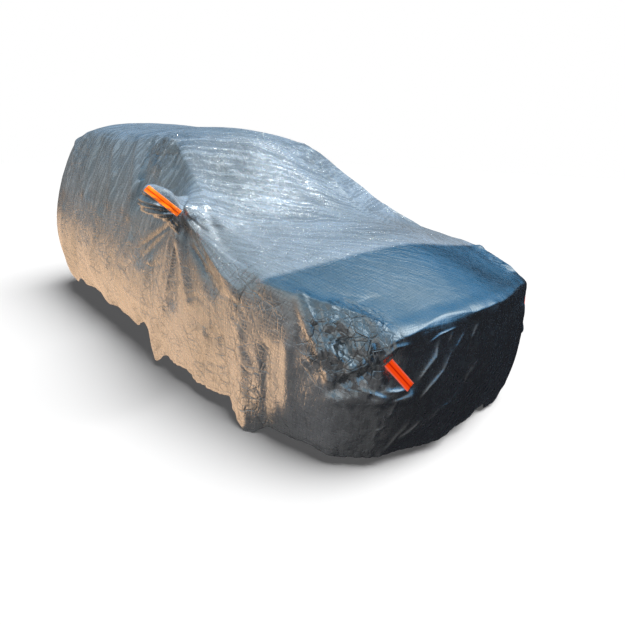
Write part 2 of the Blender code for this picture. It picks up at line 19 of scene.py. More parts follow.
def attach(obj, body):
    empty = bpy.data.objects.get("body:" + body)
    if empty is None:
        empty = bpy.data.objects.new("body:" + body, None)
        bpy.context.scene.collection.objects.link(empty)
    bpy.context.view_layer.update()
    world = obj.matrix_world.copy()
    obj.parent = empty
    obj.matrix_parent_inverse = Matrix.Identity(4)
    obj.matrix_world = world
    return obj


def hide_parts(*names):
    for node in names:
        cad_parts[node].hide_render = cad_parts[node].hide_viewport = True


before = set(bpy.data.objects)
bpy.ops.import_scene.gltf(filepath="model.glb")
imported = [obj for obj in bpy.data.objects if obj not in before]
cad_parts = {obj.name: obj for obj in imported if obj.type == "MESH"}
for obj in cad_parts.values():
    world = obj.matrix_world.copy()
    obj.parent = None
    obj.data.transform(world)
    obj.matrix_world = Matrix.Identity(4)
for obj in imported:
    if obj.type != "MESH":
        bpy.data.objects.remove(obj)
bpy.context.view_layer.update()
ORIGIN = Vector((-0.56, 0.00, 1.472))

# ---------------------------------------------------------------- the drape, as the solids have it
Station = namedtuple("Station", "place shoulder belly hem crown boxy squares")
STATIONS = (
    Station("nose middle", (2.01, 0.00, 0.725), (2.07, 0.00, 0.395), (2.01, 0.00, 0.075), 0.00, 0.40, 4),
    Station("nose side", (1.93, 0.38, 0.700), (2.00, 0.48, 0.395), (1.97, 0.44, 0.075), 0.00, 0.55, 4),
    Station("front corner", (1.88, 0.60, 0.695), (1.82, 0.77, 0.395), (1.75, 0.73, 0.060), 0.02, 0.65, 6),
    Station("bonnet", (1.45, 0.76, 0.795), (1.36, 0.86, 0.545), (1.25, 0.85, 0.065), 0.06, 0.35, 10),
    Station("windscreen foot", (0.91, 0.79, 0.895), (0.91, 0.88, 0.595), (0.91, 0.87, 0.105), 0.05, 0.00, 8),
    Station("pillar", (0.53, 0.64, 1.135), (0.51, 0.88, 0.645), (0.50, 0.88, 0.125), 0.05, 0.00, 6),
    Station("pillar head", (0.14, 0.55, 1.365), (0.06, 0.88, 0.645), (0.06, 0.85, 0.165), 0.05, 0.00, 7),
    Station("roof middle", (-0.56, 0.59, 1.395), (-0.54, 0.88, 0.655), (-0.54, 0.83, 0.170), 0.06, 0.00, 7),
    Station("roof rear", (-1.21, 0.59, 1.435), (-1.20, 0.88, 0.665), (-1.18, 0.81, 0.165), 0.06, 0.00, 6),
    Station("rear corner", (-1.66, 0.58, 1.355), (-1.87, 0.79, 0.625), (-1.78, 0.73, 0.165), 0.04, 0.00, 4),
    Station("tail side", (-1.79, 0.34, 1.375), (-2.02, 0.45, 0.610), (-1.95, 0.41, 0.165), 0.00, 0.00, 4),
    Station("tail middle", (-1.82, 0.00, 1.375), (-2.06, 0.00, 0.595), (-2.00, 0.00, 0.165), 0.00, 0.00, 0),
)
FRONT_CORNER, REAR_CORNER = 2, 9
ACROSS = 16
DOWN = (0.0, 0.04, 0.09, 0.15, 0.22, 0.30, 0.38, 0.47, 0.56, 0.65, 0.74, 0.82, 0.89, 0.95, 1.0)
BELLY_DOWN = 0.55
CROWN_RUN = 0.17
SHOULDER_ROWS = 2

TENT_AT = (0.75, 0.76, 0.96)
TENT_LIFT = (0.03, 0.105, 0.085)
TENT_REACH = 0.17
TENT_BLUNT = 0.25
Hand = namedtuple("Hand", "name side tent reach rows rise perk")
HANDS = (Hand("right", -1, 1.0, 1.0, (1, 4), 0.33, 1.0), Hand("left", 1, 0.10, 0.62, (3, 6), 0.10, -0.9))
POUCH_COLUMNS = (27, 30)

SQUARES_TO = np.cumsum([0] + [station.squares for station in STATIONS])
COLUMN_FRONT = int(SQUARES_TO[FRONT_CORNER])
COLUMN_REAR = int(SQUARES_TO[REAR_CORNER])
ALONG = COLUMN_REAR - COLUMN_FRONT
COLUMNS = 2 * int(SQUARES_TO[-1])

# Main folds, each a ridge (height over 0) or a trough (under 0) from start to end, whose half width grows
Fold = namedtuple("Fold", "place start end width_start width_end height")
SIDE_FOLDS = (
    Fold("fan, rearward", (0.66, -0.79, 0.98), (0.19, -0.87, 0.70), 0.030, 0.060, -0.018),
    Fold("fan, down and rearward", (0.68, -0.80, 0.96), (0.46, -0.90, 0.49), 0.030, 0.060, 0.016),
    Fold("fan, down", (0.71, -0.80, 0.96), (0.64, -0.89, 0.53), 0.028, 0.045, -0.018),
    Fold("fan, down and forward", (0.74, -0.80, 0.96), (0.82, -0.88, 0.58), 0.028, 0.045, 0.018),
    Fold("fan, steep forward", (0.76, -0.79, 0.97), (1.05, -0.85, 0.70), 0.026, 0.045, -0.018),
    Fold("fan, forward", (0.79, -0.78, 0.98), (1.20, -0.86, 0.72), 0.026, 0.045, 0.016),
    Fold("fan, to the wing", (0.80, -0.76, 0.99), (1.30, -0.83, 0.79), 0.026, 0.050, -0.014),
    Fold("fan, to the windscreen foot", (0.82, -0.73, 1.00), (1.13, -0.66, 0.88), 0.026, 0.050, 0.010),
    Fold("window, front", (0.01, -0.57, 1.355), (0.20, -0.69, 1.12), 0.035, 0.045, 0.014),
    Fold("window, middle", (-0.14, -0.58, 1.355), (0.02, -0.76, 1.00), 0.035, 0.050, -0.014),
    Fold("window, middle ridge", (-0.30, -0.59, 1.36), (-0.10, -0.75, 1.05), 0.035, 0.050, 0.015),
    Fold("window, rear", (-0.61, -0.61, 1.36), (-0.41, -0.79, 0.97), 0.040, 0.060, 0.014),
    Fold("rear door", (-0.92, -0.63, 1.36), (-0.84, -0.79, 1.00), 0.040, 0.060, -0.012),
    Fold("rear quarter", (-1.30, -0.60, 1.35), (-1.42, -0.78, 0.98), 0.040, 0.060, 0.014),
    Fold("rear shoulder", (-1.52, -0.60, 1.33), (-1.30, -0.70, 1.20), 0.040, 0.040, 0.015),
    Fold("belt, front door", (-0.06, -0.72, 1.10), (-0.07, -0.80, 0.92), 0.035, 0.045, 0.014),
    Fold("front door, low", (0.33, -0.87, 0.69), (0.17, -0.89, 0.29), 0.040, 0.050, 0.014),
    Fold("door, low", (0.01, -0.85, 0.76), (-0.27, -0.89, 0.36), 0.040, 0.060, 0.016),
    Fold("rear door, low", (-0.53, -0.83, 0.86), (-0.73, -0.89, 0.41), 0.045, 0.060, 0.016),
    Fold("rear door, trough", (-0.20, -0.81, 0.89), (-0.33, -0.89, 0.56), 0.040, 0.050, -0.014),
    Fold("rear wing, low", (-0.97, -0.82, 0.92), (-1.16, -0.88, 0.39), 0.045, 0.060, -0.016),
    Fold("rear wing, behind the arch", (-1.38, -0.85, 0.80), (-1.52, -0.83, 0.25), 0.045, 0.060, 0.016),
    Fold("arch, rear pleat", (0.96, -0.88, 0.43), (0.93, -0.87, 0.10), 0.030, 0.040, 0.016),
    Fold("arch, middle pleat", (1.09, -0.88, 0.45), (1.10, -0.87, 0.10), 0.030, 0.040, -0.016),
    Fold("arch, front pleat", (1.25, -0.87, 0.55), (1.26, -0.86, 0.06), 0.035, 0.045, 0.010),
    Fold("wing, stripe", (1.42, -0.85, 0.50), (1.38, -0.83, 0.04), 0.035, 0.045, -0.018),
    Fold("wing, low ridge", (1.55, -0.83, 0.54), (1.55, -0.80, 0.09), 0.035, 0.045, 0.012),
    Fold("wing, streak", (1.55, -0.76, 0.75), (1.71, -0.79, 0.58), 0.022, 0.022, 0.014),
    Fold("wing, streak, lower", (1.71, -0.79, 0.58), (1.77, -0.78, 0.46), 0.022, 0.022, 0.012),
    Fold("corner, upper crumple", (1.67, -0.77, 0.66), (1.79, -0.74, 0.60), 0.026, 0.026, -0.014),
    Fold("corner, middle crumple", (1.74, -0.76, 0.61), (1.83, -0.74, 0.54), 0.026, 0.026, 0.014),
    Fold("corner, facet", (1.89, -0.70, 0.53), (1.80, -0.77, 0.46), 0.026, 0.026, -0.016),
    Fold("corner, lower crumple", (1.88, -0.72, 0.42), (1.76, -0.79, 0.38), 0.028, 0.028, 0.014),
    Fold("ledge under the tape", (1.90, -0.68, 0.40), (1.99, -0.54, 0.40), 0.026, 0.026, 0.020),
)
MIDDLE_FOLDS = (
    Fold("nose crease by the tape", (2.00, -0.42, 0.54), (1.98, -0.51, 0.43), 0.024, 0.024, 0.005),
    Fold("nose crease, long", (2.02, -0.31, 0.56), (2.00, -0.46, 0.38), 0.024, 0.024, 0.005),
    Fold("nose crease, low", (2.05, -0.24, 0.33), (2.00, -0.43, 0.23), 0.026, 0.026, 0.006),
    Fold("nose crease, to the hem", (2.00, -0.44, 0.22), (1.95, -0.54, 0.15), 0.026, 0.026, 0.006),
    Fold("bonnet lip", (1.95, -0.38, 0.69), (1.93, -0.53, 0.64), 0.024, 0.024, -0.002),
    Fold("nose, right of the middle", (2.02, -0.18, 0.65), (2.05, -0.22, 0.38), 0.030, 0.040, -0.012),
    Fold("nose, middle", (2.04, -0.02, 0.66), (2.07, -0.05, 0.38), 0.030, 0.040, 0.012),
    Fold("nose, left of the middle", (2.03, 0.16, 0.62), (2.02, 0.24, 0.13), 0.030, 0.045, -0.014),
    Fold("nose, left", (1.98, 0.40, 0.58), (2.00, 0.42, 0.14), 0.030, 0.045, 0.014),
    Fold("bonnet dent", (1.72, -0.63, 0.74), (1.74, -0.50, 0.75), 0.028, 0.028, -0.002),
    Fold("bonnet dent, long", (1.60, -0.63, 0.77), (1.73, -0.59, 0.74), 0.028, 0.028, -0.001),
    Fold("windscreen, right", (0.36, -0.38, 1.26), (1.05, -0.42, 0.92), 0.045, 0.060, 0.007),
    Fold("windscreen, middle", (0.34, 0.02, 1.28), (1.05, 0.05, 0.95), 0.045, 0.060, -0.007),
    Fold("windscreen, left", (0.36, 0.38, 1.26), (1.05, 0.45, 0.92), 0.045, 0.060, 0.007),
    Fold("tail, right", (-1.95, -0.40, 1.10), (-1.98, -0.44, 0.25), 0.040, 0.060, 0.015),
    Fold("tail, middle", (-1.97, 0.05, 1.10), (-2.03, 0.08, 0.25), 0.040, 0.060, -0.015),
    Fold("tail, left", (-1.95, 0.42, 1.10), (-1.98, 0.38, 0.25), 0.040, 0.060, 0.015),
)
FOLD_DEPTH = 0.30               # a fold moves only the cloth that lies this near its line
FOLD_REACH = 3                  # how far it reaches, in its half widths
RUMPLE, RUMPLE_SIZE = 0.006, 0.30

Wave = namedtuple("Wave", "pitch swing lift phase")
HEM_WAVES = (Wave(0.62, 0.008, 0.008, 0.4), Wave(0.29, 0.005, 0.004, 1.7), Wave(0.19, 0.003, 0.002, 0.2))
HEM_LAG = 1.1
HEM_REACH = 0.25
CATCH_SIDE = 0.2                # a catch moves only the hem this far out on its own side
HemCatch = namedtuple("HemCatch", "place x side reach lift out")
HEM_CATCHES = (
    HemCatch("behind the rear arch", -1.56, -1, 0.07, -0.050, 0.010),
    HemCatch("rear arch", -1.28, -1, 0.20, 0.030, 0.000),
    HemCatch("rear door", -0.90, -1, 0.15, 0.035, -0.005),
    HemCatch("before the flap", 0.09, -1, 0.08, 0.050, -0.010),
    HemCatch("flap", 0.33, -1, 0.065, -0.095, 0.035),
    HemCatch("sill", 0.82, -1, 0.08, -0.025, 0.005),
    HemCatch("behind the front arch", 1.09, -1, 0.07, 0.035, -0.005),
    HemCatch("before the front arch", 1.27, -1, 0.075, -0.075, 0.012),
    HemCatch("wing", 1.62, -1, 0.10, 0.022, 0.000),
    HemCatch("left arch", 1.20, 1, 0.16, 0.040, 0.000),
    HemCatch("left sill", 0.40, 1, 0.10, -0.035, 0.020),
    HemCatch("left rear arch", -1.28, 1, 0.20, 0.035, 0.000),
    HemCatch("left of the nose", 1.98, 1, 0.10, -0.040, 0.000),
)

# ---------------------------------------------------------------- what the film adds to the drape
# Creases are sharp along their middle, because the film is stiff. Each follows its way over the cloth, as a
# ridge (height over 0) or a trough (under 0). These have no twin on the other side:
Crease = namedtuple("Crease", "place width height way")
RIGHT_CREASES = (
    Crease("nose, beside the tape", 0.005, 0.0070,
           ((1.999, -0.393, 0.626), (2.007, -0.420, 0.551), (2.006, -0.475, 0.504), (1.998, -0.505, 0.466))),
    Crease("nose, long", 0.005, 0.0070,
           ((2.027, -0.328, 0.552), (2.033, -0.376, 0.481), (2.015, -0.449, 0.420), (2.006, -0.493, 0.375))),
    Crease("nose, thin", 0.005, 0.005, ((2.030, -0.232, 0.642), (2.030, -0.309, 0.557))),
    Crease("nose, short", 0.005, 0.0055, ((2.013, -0.324, 0.634), (2.018, -0.340, 0.595))),
    Crease("nose, soft and low", 0.012, 0.005,
           ((2.056, -0.262, 0.340), (2.051, -0.306, 0.310), (2.037, -0.376, 0.287), (2.023, -0.422, 0.238))),
    Crease("nose, low", 0.006, 0.007,
           ((2.006, -0.463, 0.259), (1.983, -0.509, 0.207), (1.962, -0.547, 0.172))),
    Crease("nose, far", 0.005, 0.0045, ((2.06, 0.10, 0.56), (2.06, 0.16, 0.42))),
    Crease("nose, far corner", 0.006, 0.004, ((1.98, 0.46, 0.60), (2.00, 0.47, 0.49))),
    Crease("nose, high", 0.005, 0.0050,
           ((2.03, -0.145, 0.640), (2.04, -0.185, 0.580), (2.05, -0.190, 0.535))),
    Crease("nose, middle, short", 0.005, 0.0045, ((2.05, -0.010, 0.600), (2.06, -0.050, 0.545))),
    Crease("nose, middle, long", 0.005, 0.0050,
           ((2.06, -0.130, 0.470), (2.06, -0.190, 0.400), (2.05, -0.205, 0.340))),
    Crease("nose, middle, slanted", 0.005, 0.0045, ((2.06, 0.060, 0.420), (2.06, -0.020, 0.355))),
    Crease("nose, far, high", 0.005, 0.0045, ((2.03, 0.230, 0.630), (2.04, 0.195, 0.560))),
    Crease("nose, far, low", 0.005, 0.0050,
           ((2.03, 0.310, 0.440), (2.03, 0.270, 0.350), (2.02, 0.280, 0.270))),
    Crease("nose, foot", 0.006, 0.0050, ((2.04, -0.110, 0.260), (2.02, -0.170, 0.165))),
    Crease("nose, under the edge", 0.005, 0.0055,
           ((1.990, -0.470, 0.610), (2.010, -0.400, 0.640), (2.030, -0.300, 0.655))),
    Crease("nose, beside the middle", 0.005, 0.0050, ((2.050, -0.270, 0.480), (2.055, -0.235, 0.430))),
    Crease("nose, far edge", 0.005, 0.0045,
           ((1.980, 0.480, 0.420), (1.960, 0.530, 0.330), (1.950, 0.520, 0.240))),
    Crease("under the ledge", 0.006, 0.006, ((1.968, -0.610, 0.391), (1.947, -0.617, 0.312))),
    Crease("under the ledge, low", 0.006, 0.006,
           ((1.933, -0.626, 0.261), (1.912, -0.656, 0.243), (1.902, -0.652, 0.195))),
    Crease("lower corner", 0.006, 0.007,
           ((1.903, -0.598, 0.075), (1.955, -0.561, 0.191), (1.983, -0.519, 0.262))),
    Crease("bonnet, near V", 0.007, -0.0018,
           ((1.597, -0.639, 0.774), (1.659, -0.598, 0.755), (1.706, -0.535, 0.740))),
    Crease("bonnet, far V", 0.006, -0.0018,
           ((1.717, -0.579, 0.726), (1.710, -0.526, 0.739), (1.730, -0.464, 0.745))),
    Crease("wing, tan streak", 0.009, 0.012,
           ((1.589, -0.776, 0.753), (1.673, -0.786, 0.680), (1.729, -0.794, 0.614), (1.772, -0.793, 0.534),
            (1.798, -0.782, 0.469))),
    Crease("wing, pale streak", 0.008, 0.010,
           ((1.617, -0.825, 0.552), (1.669, -0.817, 0.547), (1.719, -0.808, 0.540))),
    Crease("corner, over the tape", 0.010, 0.012,
           ((1.915, -0.675, 0.572), (1.937, -0.617, 0.630), (1.954, -0.542, 0.631))),
    Crease("corner, lower edge", 0.010, 0.012,
           ((1.873, -0.733, 0.451), (1.910, -0.703, 0.439), (1.942, -0.657, 0.412))),
    Crease("ledge, upper edge", 0.010, 0.014,
           ((1.935, -0.659, 0.442), (1.959, -0.611, 0.434), (1.978, -0.563, 0.433))),
    Crease("ledge, lower edge", 0.009, -0.010,
           ((1.947, -0.650, 0.397), (1.967, -0.610, 0.404), (1.983, -0.565, 0.412))),
    Crease("crumple, top", 0.006, 0.0060,
           ((1.693, -0.778, 0.676), (1.731, -0.749, 0.697), (1.757, -0.714, 0.709))),
    Crease("crumple, upright", 0.006, 0.0060, ((1.826, -0.743, 0.633), (1.845, -0.744, 0.598))),
    Crease("crumple, by the tape", 0.006, 0.0060, ((1.865, -0.723, 0.569), (1.876, -0.708, 0.528))),
    Crease("crumple, long", 0.006, -0.0075,
           ((1.732, -0.770, 0.652), (1.800, -0.755, 0.628), (1.841, -0.755, 0.578))),
    Crease("crumple, rising", 0.006, 0.0075,
           ((1.705, -0.809, 0.610), (1.748, -0.774, 0.628), (1.787, -0.744, 0.671))),
    Crease("crumple, low", 0.006, 0.0075,
           ((1.802, -0.776, 0.491), (1.848, -0.760, 0.548), (1.866, -0.725, 0.578))),
    Crease("crumple, bent", 0.006, -0.0067,
           ((1.772, -0.780, 0.604), (1.819, -0.771, 0.567), (1.801, -0.776, 0.504))),
    Crease("crumple, under the edge", 0.006, 0.0075,
           ((1.812, -0.714, 0.684), (1.864, -0.696, 0.662), (1.889, -0.698, 0.621))),
    Crease("crumple, foot", 0.006, 0.0060,
           ((1.730, -0.806, 0.499), (1.789, -0.789, 0.459), (1.847, -0.750, 0.438))),
    Crease("wing, low", 0.008, 0.006, ((1.773, -0.798, 0.409), (1.848, -0.757, 0.357))),
    Crease("wing, low and steep", 0.009, 0.005, ((1.832, -0.772, 0.403), (1.846, -0.736, 0.275))),
    Crease("fan, groove to the windscreen", 0.010, -0.009,
           ((0.791, -0.867, 1.025), (0.867, -0.825, 0.967), (0.959, -0.800, 0.919))),
    Crease("fan, long groove", 0.010, -0.011,
           ((0.805, -0.865, 1.012), (0.876, -0.854, 0.942), (0.964, -0.859, 0.824))),
    Crease("fan, steep groove", 0.009, -0.010,
           ((0.794, -0.875, 1.007), (0.807, -0.880, 0.904), (0.825, -0.892, 0.807))),
    Crease("fan, short groove", 0.009, -0.008,
           ((0.842, -0.874, 0.874), (0.917, -0.866, 0.811), (0.982, -0.870, 0.739))),
    Crease("fan, straight down", 0.010, 0.009,
           ((0.771, -0.874, 0.999), (0.754, -0.892, 0.887), (0.707, -0.885, 0.762))),
    Crease("fan, long ridge", 0.012, 0.011,
           ((0.797, -0.871, 1.011), (0.916, -0.858, 0.909), (1.129, -0.876, 0.783), (1.242, -0.866, 0.736))),
    Crease("fan, tan ridge", 0.010, 0.009,
           ((0.851, -0.866, 0.900), (0.956, -0.861, 0.808), (1.050, -0.872, 0.760))),
    Crease("fan, to the glass, low", 0.009, 0.007,
           ((0.797, -0.859, 1.030), (0.850, -0.786, 0.991), (0.927, -0.691, 0.953))),
    Crease("fan, to the glass, middle", 0.008, -0.006,
           ((0.793, -0.856, 1.039), (0.814, -0.745, 1.023), (0.840, -0.644, 0.998))),
    Crease("fan, to the glass, high", 0.008, 0.006,
           ((0.796, -0.845, 1.048), (0.774, -0.737, 1.049), (0.779, -0.621, 1.031))),
    Crease("fan, rearward", 0.011, 0.010,
           ((0.640, -0.849, 0.959), (0.378, -0.828, 0.831), (0.177, -0.863, 0.698))),
    Crease("fan, rearward groove", 0.011, -0.011,
           ((0.521, -0.815, 0.930), (0.330, -0.829, 0.836), (0.136, -0.854, 0.734))),
    Crease("silver line, upper", 0.009, 0.009,
           ((0.670, -0.853, 0.964), (0.670, -0.869, 0.844), (0.624, -0.888, 0.702))),
    Crease("silver line, lower", 0.012, 0.012,
           ((0.624, -0.888, 0.702), (0.588, -0.898, 0.598), (0.528, -0.909, 0.435), (0.469, -0.897, 0.267),
            (0.360, -0.915, 0.120))),
    Crease("window, by the pouch", 0.009, 0.009,
           ((-0.062, -0.697, 1.135), (-0.071, -0.781, 1.001), (-0.049, -0.805, 0.929))),
    Crease("window, behind it", 0.009, 0.007,
           ((-0.120, -0.690, 1.150), (-0.130, -0.775, 1.010), (-0.110, -0.800, 0.940))),
)
# These are on both sides:
SIDE_CREASES = (
    Crease("window, front", 0.010, 0.007, ((0.088, -0.650, 1.226), (0.124, -0.696, 1.135))),
    Crease("pillar, first", 0.009, 0.010,
           ((-0.255, -0.455, 1.420), (-0.027, -0.593, 1.330), (0.006, -0.636, 1.247))),
    Crease("pillar, second", 0.009, -0.010,
           ((-0.017, -0.517, 1.392), (0.075, -0.603, 1.308), (0.122, -0.654, 1.222))),
    Crease("pillar, third", 0.009, 0.010,
           ((0.082, -0.513, 1.381), (0.150, -0.595, 1.298), (0.187, -0.648, 1.207))),
    Crease("pillar, fourth", 0.009, -0.010,
           ((0.181, -0.513, 1.358), (0.232, -0.600, 1.278), (0.272, -0.654, 1.189))),
    Crease("roof edge, upper", 0.009, 0.006,
           ((-1.200, -0.545, 1.440), (-0.800, -0.550, 1.425), (-0.350, -0.540, 1.410),
            (0.020, -0.515, 1.390))),
    Crease("roof edge, lower", 0.009, -0.006,
           ((-1.050, -0.600, 1.410), (-0.650, -0.600, 1.390), (-0.250, -0.585, 1.380))),
    Crease("window, rear", 0.010, 0.007, ((-0.783, -0.678, 1.248), (-0.784, -0.718, 1.163))),
    Crease("window, middle", 0.010, 0.006, ((-0.637, -0.633, 1.335), (-0.549, -0.683, 1.255))),
    Crease("window, last", 0.010, 0.007, ((-1.007, -0.710, 1.212), (-0.989, -0.762, 1.095))),
    Crease("rear door, ridge", 0.012, 0.010,
           ((-0.204, -0.847, 0.783), (-0.291, -0.874, 0.634), (-0.436, -0.890, 0.440))),
    Crease("rear door, groove", 0.011, -0.010,
           ((-0.116, -0.850, 0.769), (-0.166, -0.889, 0.618), (-0.288, -0.900, 0.453))),
    Crease("door, long", 0.008, -0.006,
           ((1.019, -0.883, 0.623), (1.027, -0.886, 0.477), (0.965, -0.888, 0.316), (0.875, -0.891, 0.130))),
    Crease("arch, bar", 0.008, -0.009,
           ((0.957, -0.887, 0.271), (1.035, -0.869, 0.273), (1.151, -0.871, 0.286))),
    Crease("arch, dark pleat", 0.009, -0.009, ((0.961, -0.895, 0.363), (0.826, -0.884, 0.094))),
    Crease("arch, rim", 0.007, -0.005,
           ((1.179, -0.879, 0.499), (1.275, -0.884, 0.471), (1.332, -0.865, 0.409), (1.380, -0.845, 0.328))),
    Crease("stripe, rear edge", 0.009, 0.007,
           ((1.352, -0.860, 0.476), (1.378, -0.848, 0.380), (1.366, -0.843, 0.186), (1.362, -0.836, 0.085))),
    Crease("stripe, front edge", 0.008, 0.006,
           ((1.392, -0.850, 0.512), (1.452, -0.842, 0.409), (1.478, -0.841, 0.239), (1.468, -0.821, 0.116))),
    Crease("wing, bright upright", 0.007, 0.005,
           ((1.478, -0.846, 0.360), (1.523, -0.843, 0.261), (1.522, -0.811, 0.129))),
    Crease("arch, low crumple", 0.008, 0.006,
           ((1.089, -0.852, 0.207), (1.226, -0.890, 0.184), (1.288, -0.882, 0.136), (1.307, -0.856, 0.060))),
    Crease("door, level", 0.009, -0.006,
           ((0.055, -0.883, 0.633), (0.348, -0.880, 0.666), (0.587, -0.895, 0.740))),
    Crease("door, sagging", 0.009, 0.006,
           ((-0.149, -0.906, 0.435), (0.116, -0.904, 0.397), (0.351, -0.907, 0.429))),
    Crease("front door, bent", 0.008, -0.006,
           ((0.738, -0.901, 0.562), (0.894, -0.894, 0.624), (1.003, -0.886, 0.603))),
    Crease("wing, bent", 0.008, -0.006,
           ((1.047, -0.868, 0.688), (1.210, -0.880, 0.683), (1.292, -0.868, 0.626))),
    Crease("front door, low", 0.008, 0.006,
           ((0.766, -0.898, 0.425), (0.915, -0.891, 0.442), (1.054, -0.884, 0.507))),
    Crease("wing, falling", 0.008, -0.006,
           ((1.169, -0.877, 0.622), (1.273, -0.885, 0.556), (1.301, -0.873, 0.487))),
    Crease("rear wing, upper", 0.009, -0.007,
           ((-0.784, -0.827, 0.899), (-0.544, -0.867, 0.785), (-0.559, -0.884, 0.676))),
    Crease("rear wing, middle", 0.009, 0.007,
           ((-0.573, -0.890, 0.600), (-0.354, -0.883, 0.552), (-0.257, -0.905, 0.446))),
    Crease("rear wing, rear", 0.010, -0.008,
           ((-1.058, -0.865, 0.715), (-0.866, -0.890, 0.588), (-1.010, -0.886, 0.423))),
)
# The bonnet's edges, where the film is drawn to a corner: how far from the edge it changes, and how much it
# is lifted there
EDGES = (
    Crease("bonnet, front edge", 0.085, 0.022,
           ((1.850, -0.735, 0.580), (1.893, -0.690, 0.612), (1.926, -0.588, 0.648), (1.943, -0.460, 0.656),
            (1.959, -0.332, 0.671), (2.007, -0.167, 0.680), (2.023, 0.000, 0.680), (2.007, 0.167, 0.676),
            (1.968, 0.360, 0.668), (1.926, 0.560, 0.654), (1.860, 0.700, 0.605))),
    Crease("bonnet, side edge, right", 0.075, 0.018,
           ((1.300, -0.830, 0.790), (1.440, -0.800, 0.770), (1.595, -0.753, 0.748), (1.683, -0.702, 0.730),
            (1.779, -0.650, 0.708), (1.872, -0.620, 0.685), (1.915, -0.600, 0.667))),
    Crease("bonnet, side edge, left", 0.075, 0.018,
           ((1.300, 0.830, 0.790), (1.440, 0.800, 0.770), (1.620, 0.740, 0.742), (1.779, 0.650, 0.708),
            (1.900, 0.600, 0.675))),
)
PILLAR = Crease("windscreen, side edge, right", 0.060, 0.012,
                ((0.740, -0.715, 1.000), (0.530, -0.640, 1.135), (0.330, -0.590, 1.255),
                 (0.140, -0.550, 1.365), (-0.080, -0.550, 1.388)))
EDGE_DEPTH, EDGE_TAPER = 0.12, 6
EDGES_FINE = tuple(edge._replace(width=0.008) for edge in EDGES)
CREASE_DEPTH = 0.06             # a crease moves only the cloth that lies this near its way
CREASE_TIP = 0.0015             # how round its middle is
CREASE_REACH = 5                # how far it reaches, in its widths
CREASE_ENDS = (0.02, 0.98)      # its height is level outside this stretch of its way
# The squares within so many widths of a crease are halved, and the nose's first creases once more
FINE_WITHIN, FINER_WITHIN = 2.4, 1.6
NOSE_CREASES = 21

# Where the film is crumpled into facets, by how much, between smoother stretches
Patch = namedtuple("Patch", "place middle reach facets")
PATCHES = (
    Patch("corner over the tape", (1.80, -0.76, 0.61), 0.125, 1.00),
    Patch("round the corner tape", (1.93, -0.62, 0.54), 0.110, 0.22),
    Patch("wing before the corner", (1.64, -0.80, 0.62), 0.110, 0.60),
    Patch("head of the pillar", (0.10, -0.58, 1.31), 0.180, 0.80),
    Patch("foot of the pillar", (0.45, -0.66, 1.12), 0.170, 0.50),
    Patch("front arch", (1.22, -0.87, 0.30), 0.260, 0.25),
    Patch("front door", (0.80, -0.88, 0.45), 0.300, 0.25),
    Patch("rear door", (0.05, -0.88, 0.50), 0.300, 0.25),
    Patch("rear wing", (-0.80, -0.85, 0.60), 0.350, 0.25),
    Patch("rear shoulder", (-1.30, -0.62, 1.20), 0.250, 0.50),
    Patch("windscreen, near", (0.45, -0.40, 1.20), 0.300, 0.30),
    Patch("far corner of the nose", (1.96, 0.45, 0.55), 0.150, 0.50),
)
FACETS_LEAST = 0.08
# Facets: heights at the corners of slanted lattices of triangles, flat between them
Lattice = namedtuple("Lattice", "size turn height")
LATTICES = (Lattice(0.080, 0.4, 0.0115), Lattice(0.047, 1.3, 0.0070), Lattice(0.029, 2.2, 0.0034))
LATTICE_SLANT, LATTICE_REPEAT, LATTICE_SEED = 0.4, 61, 7
FACETS_ACROSS, FACETS_UP = (0.69, 0.73, 0.00), (-0.27, 0.22, 0.94)

HEM_GATHER = Wave(0.052, 0.0030, 0.0022, 0.6)
GATHER_FROM, GATHER_OVER = 0.90, 0.10   # how far down the side, of 1, they begin, and how soon they are full
GATHER_LEAST, GATHER_MORE = 0.4, 1.2    # they are uneven: the least of them, and what is added to it
GATHER_UNEVEN, GATHER_STRAY = 3, 5      # how often to a metre they change, and how far they stray
HEM_TURNS = ((0.004, -0.004), (0.009, 0.002), (0.008, 0.026))
HEM_STITCHES_UP, HEM_STITCHES_OUT = 0.022, 0.0004
AT_HEM = 0.999                  # this far down the side, of 1, a vertex is on the hem


def catmull_rom(rows, station, part):
    """A point on the smooth curve through rows, part of the way from one station to the next."""
    mirror = np.array((1.0, -1.0, 1.0))
    last = len(rows) - 1
    before = rows[station - 1] if station > 0 else rows[1] * mirror
    after = rows[station + 2] if station + 2 <= last else rows[last - 1] * mirror
    here, there = rows[station], rows[min(station + 1, last)]
    slope_here, slope_there = (there - before) / 2, (after - here) / 2
    square, cube = part ** 2, part ** 3
    return ((2 * cube - 3 * square + 1) * here + (cube - 2 * square + part) * slope_here
            + (3 * square - 2 * cube) * there + (cube - square) * slope_there)


def whole_line(line):
    """One line of the cover at every column: from the nose round the right side to the tail, and back."""
    rows = np.array([getattr(station, line) for station in STATIONS])
    half = np.array([catmull_rom(rows, number, step / station.squares)
                     for number, station in enumerate(STATIONS) for step in range(station.squares)]
                    + [rows[-1]])
    return np.concatenate((half * (1.0, -1.0, 1.0), half[-2:0:-1]))


def curve_down(down, shoulder, belly, hem):
    """The points this far down a curve from the shoulder through the belly to the hem, at every column."""
    from_shoulder = (down - BELLY_DOWN) * (down - 1) / BELLY_DOWN
    from_belly = down * (1 - down) / (BELLY_DOWN * (1 - BELLY_DOWN))
    from_hem = down * (down - BELLY_DOWN) / (1 - BELLY_DOWN)
    return from_shoulder * shoulder + from_belly * belly + from_hem * hem


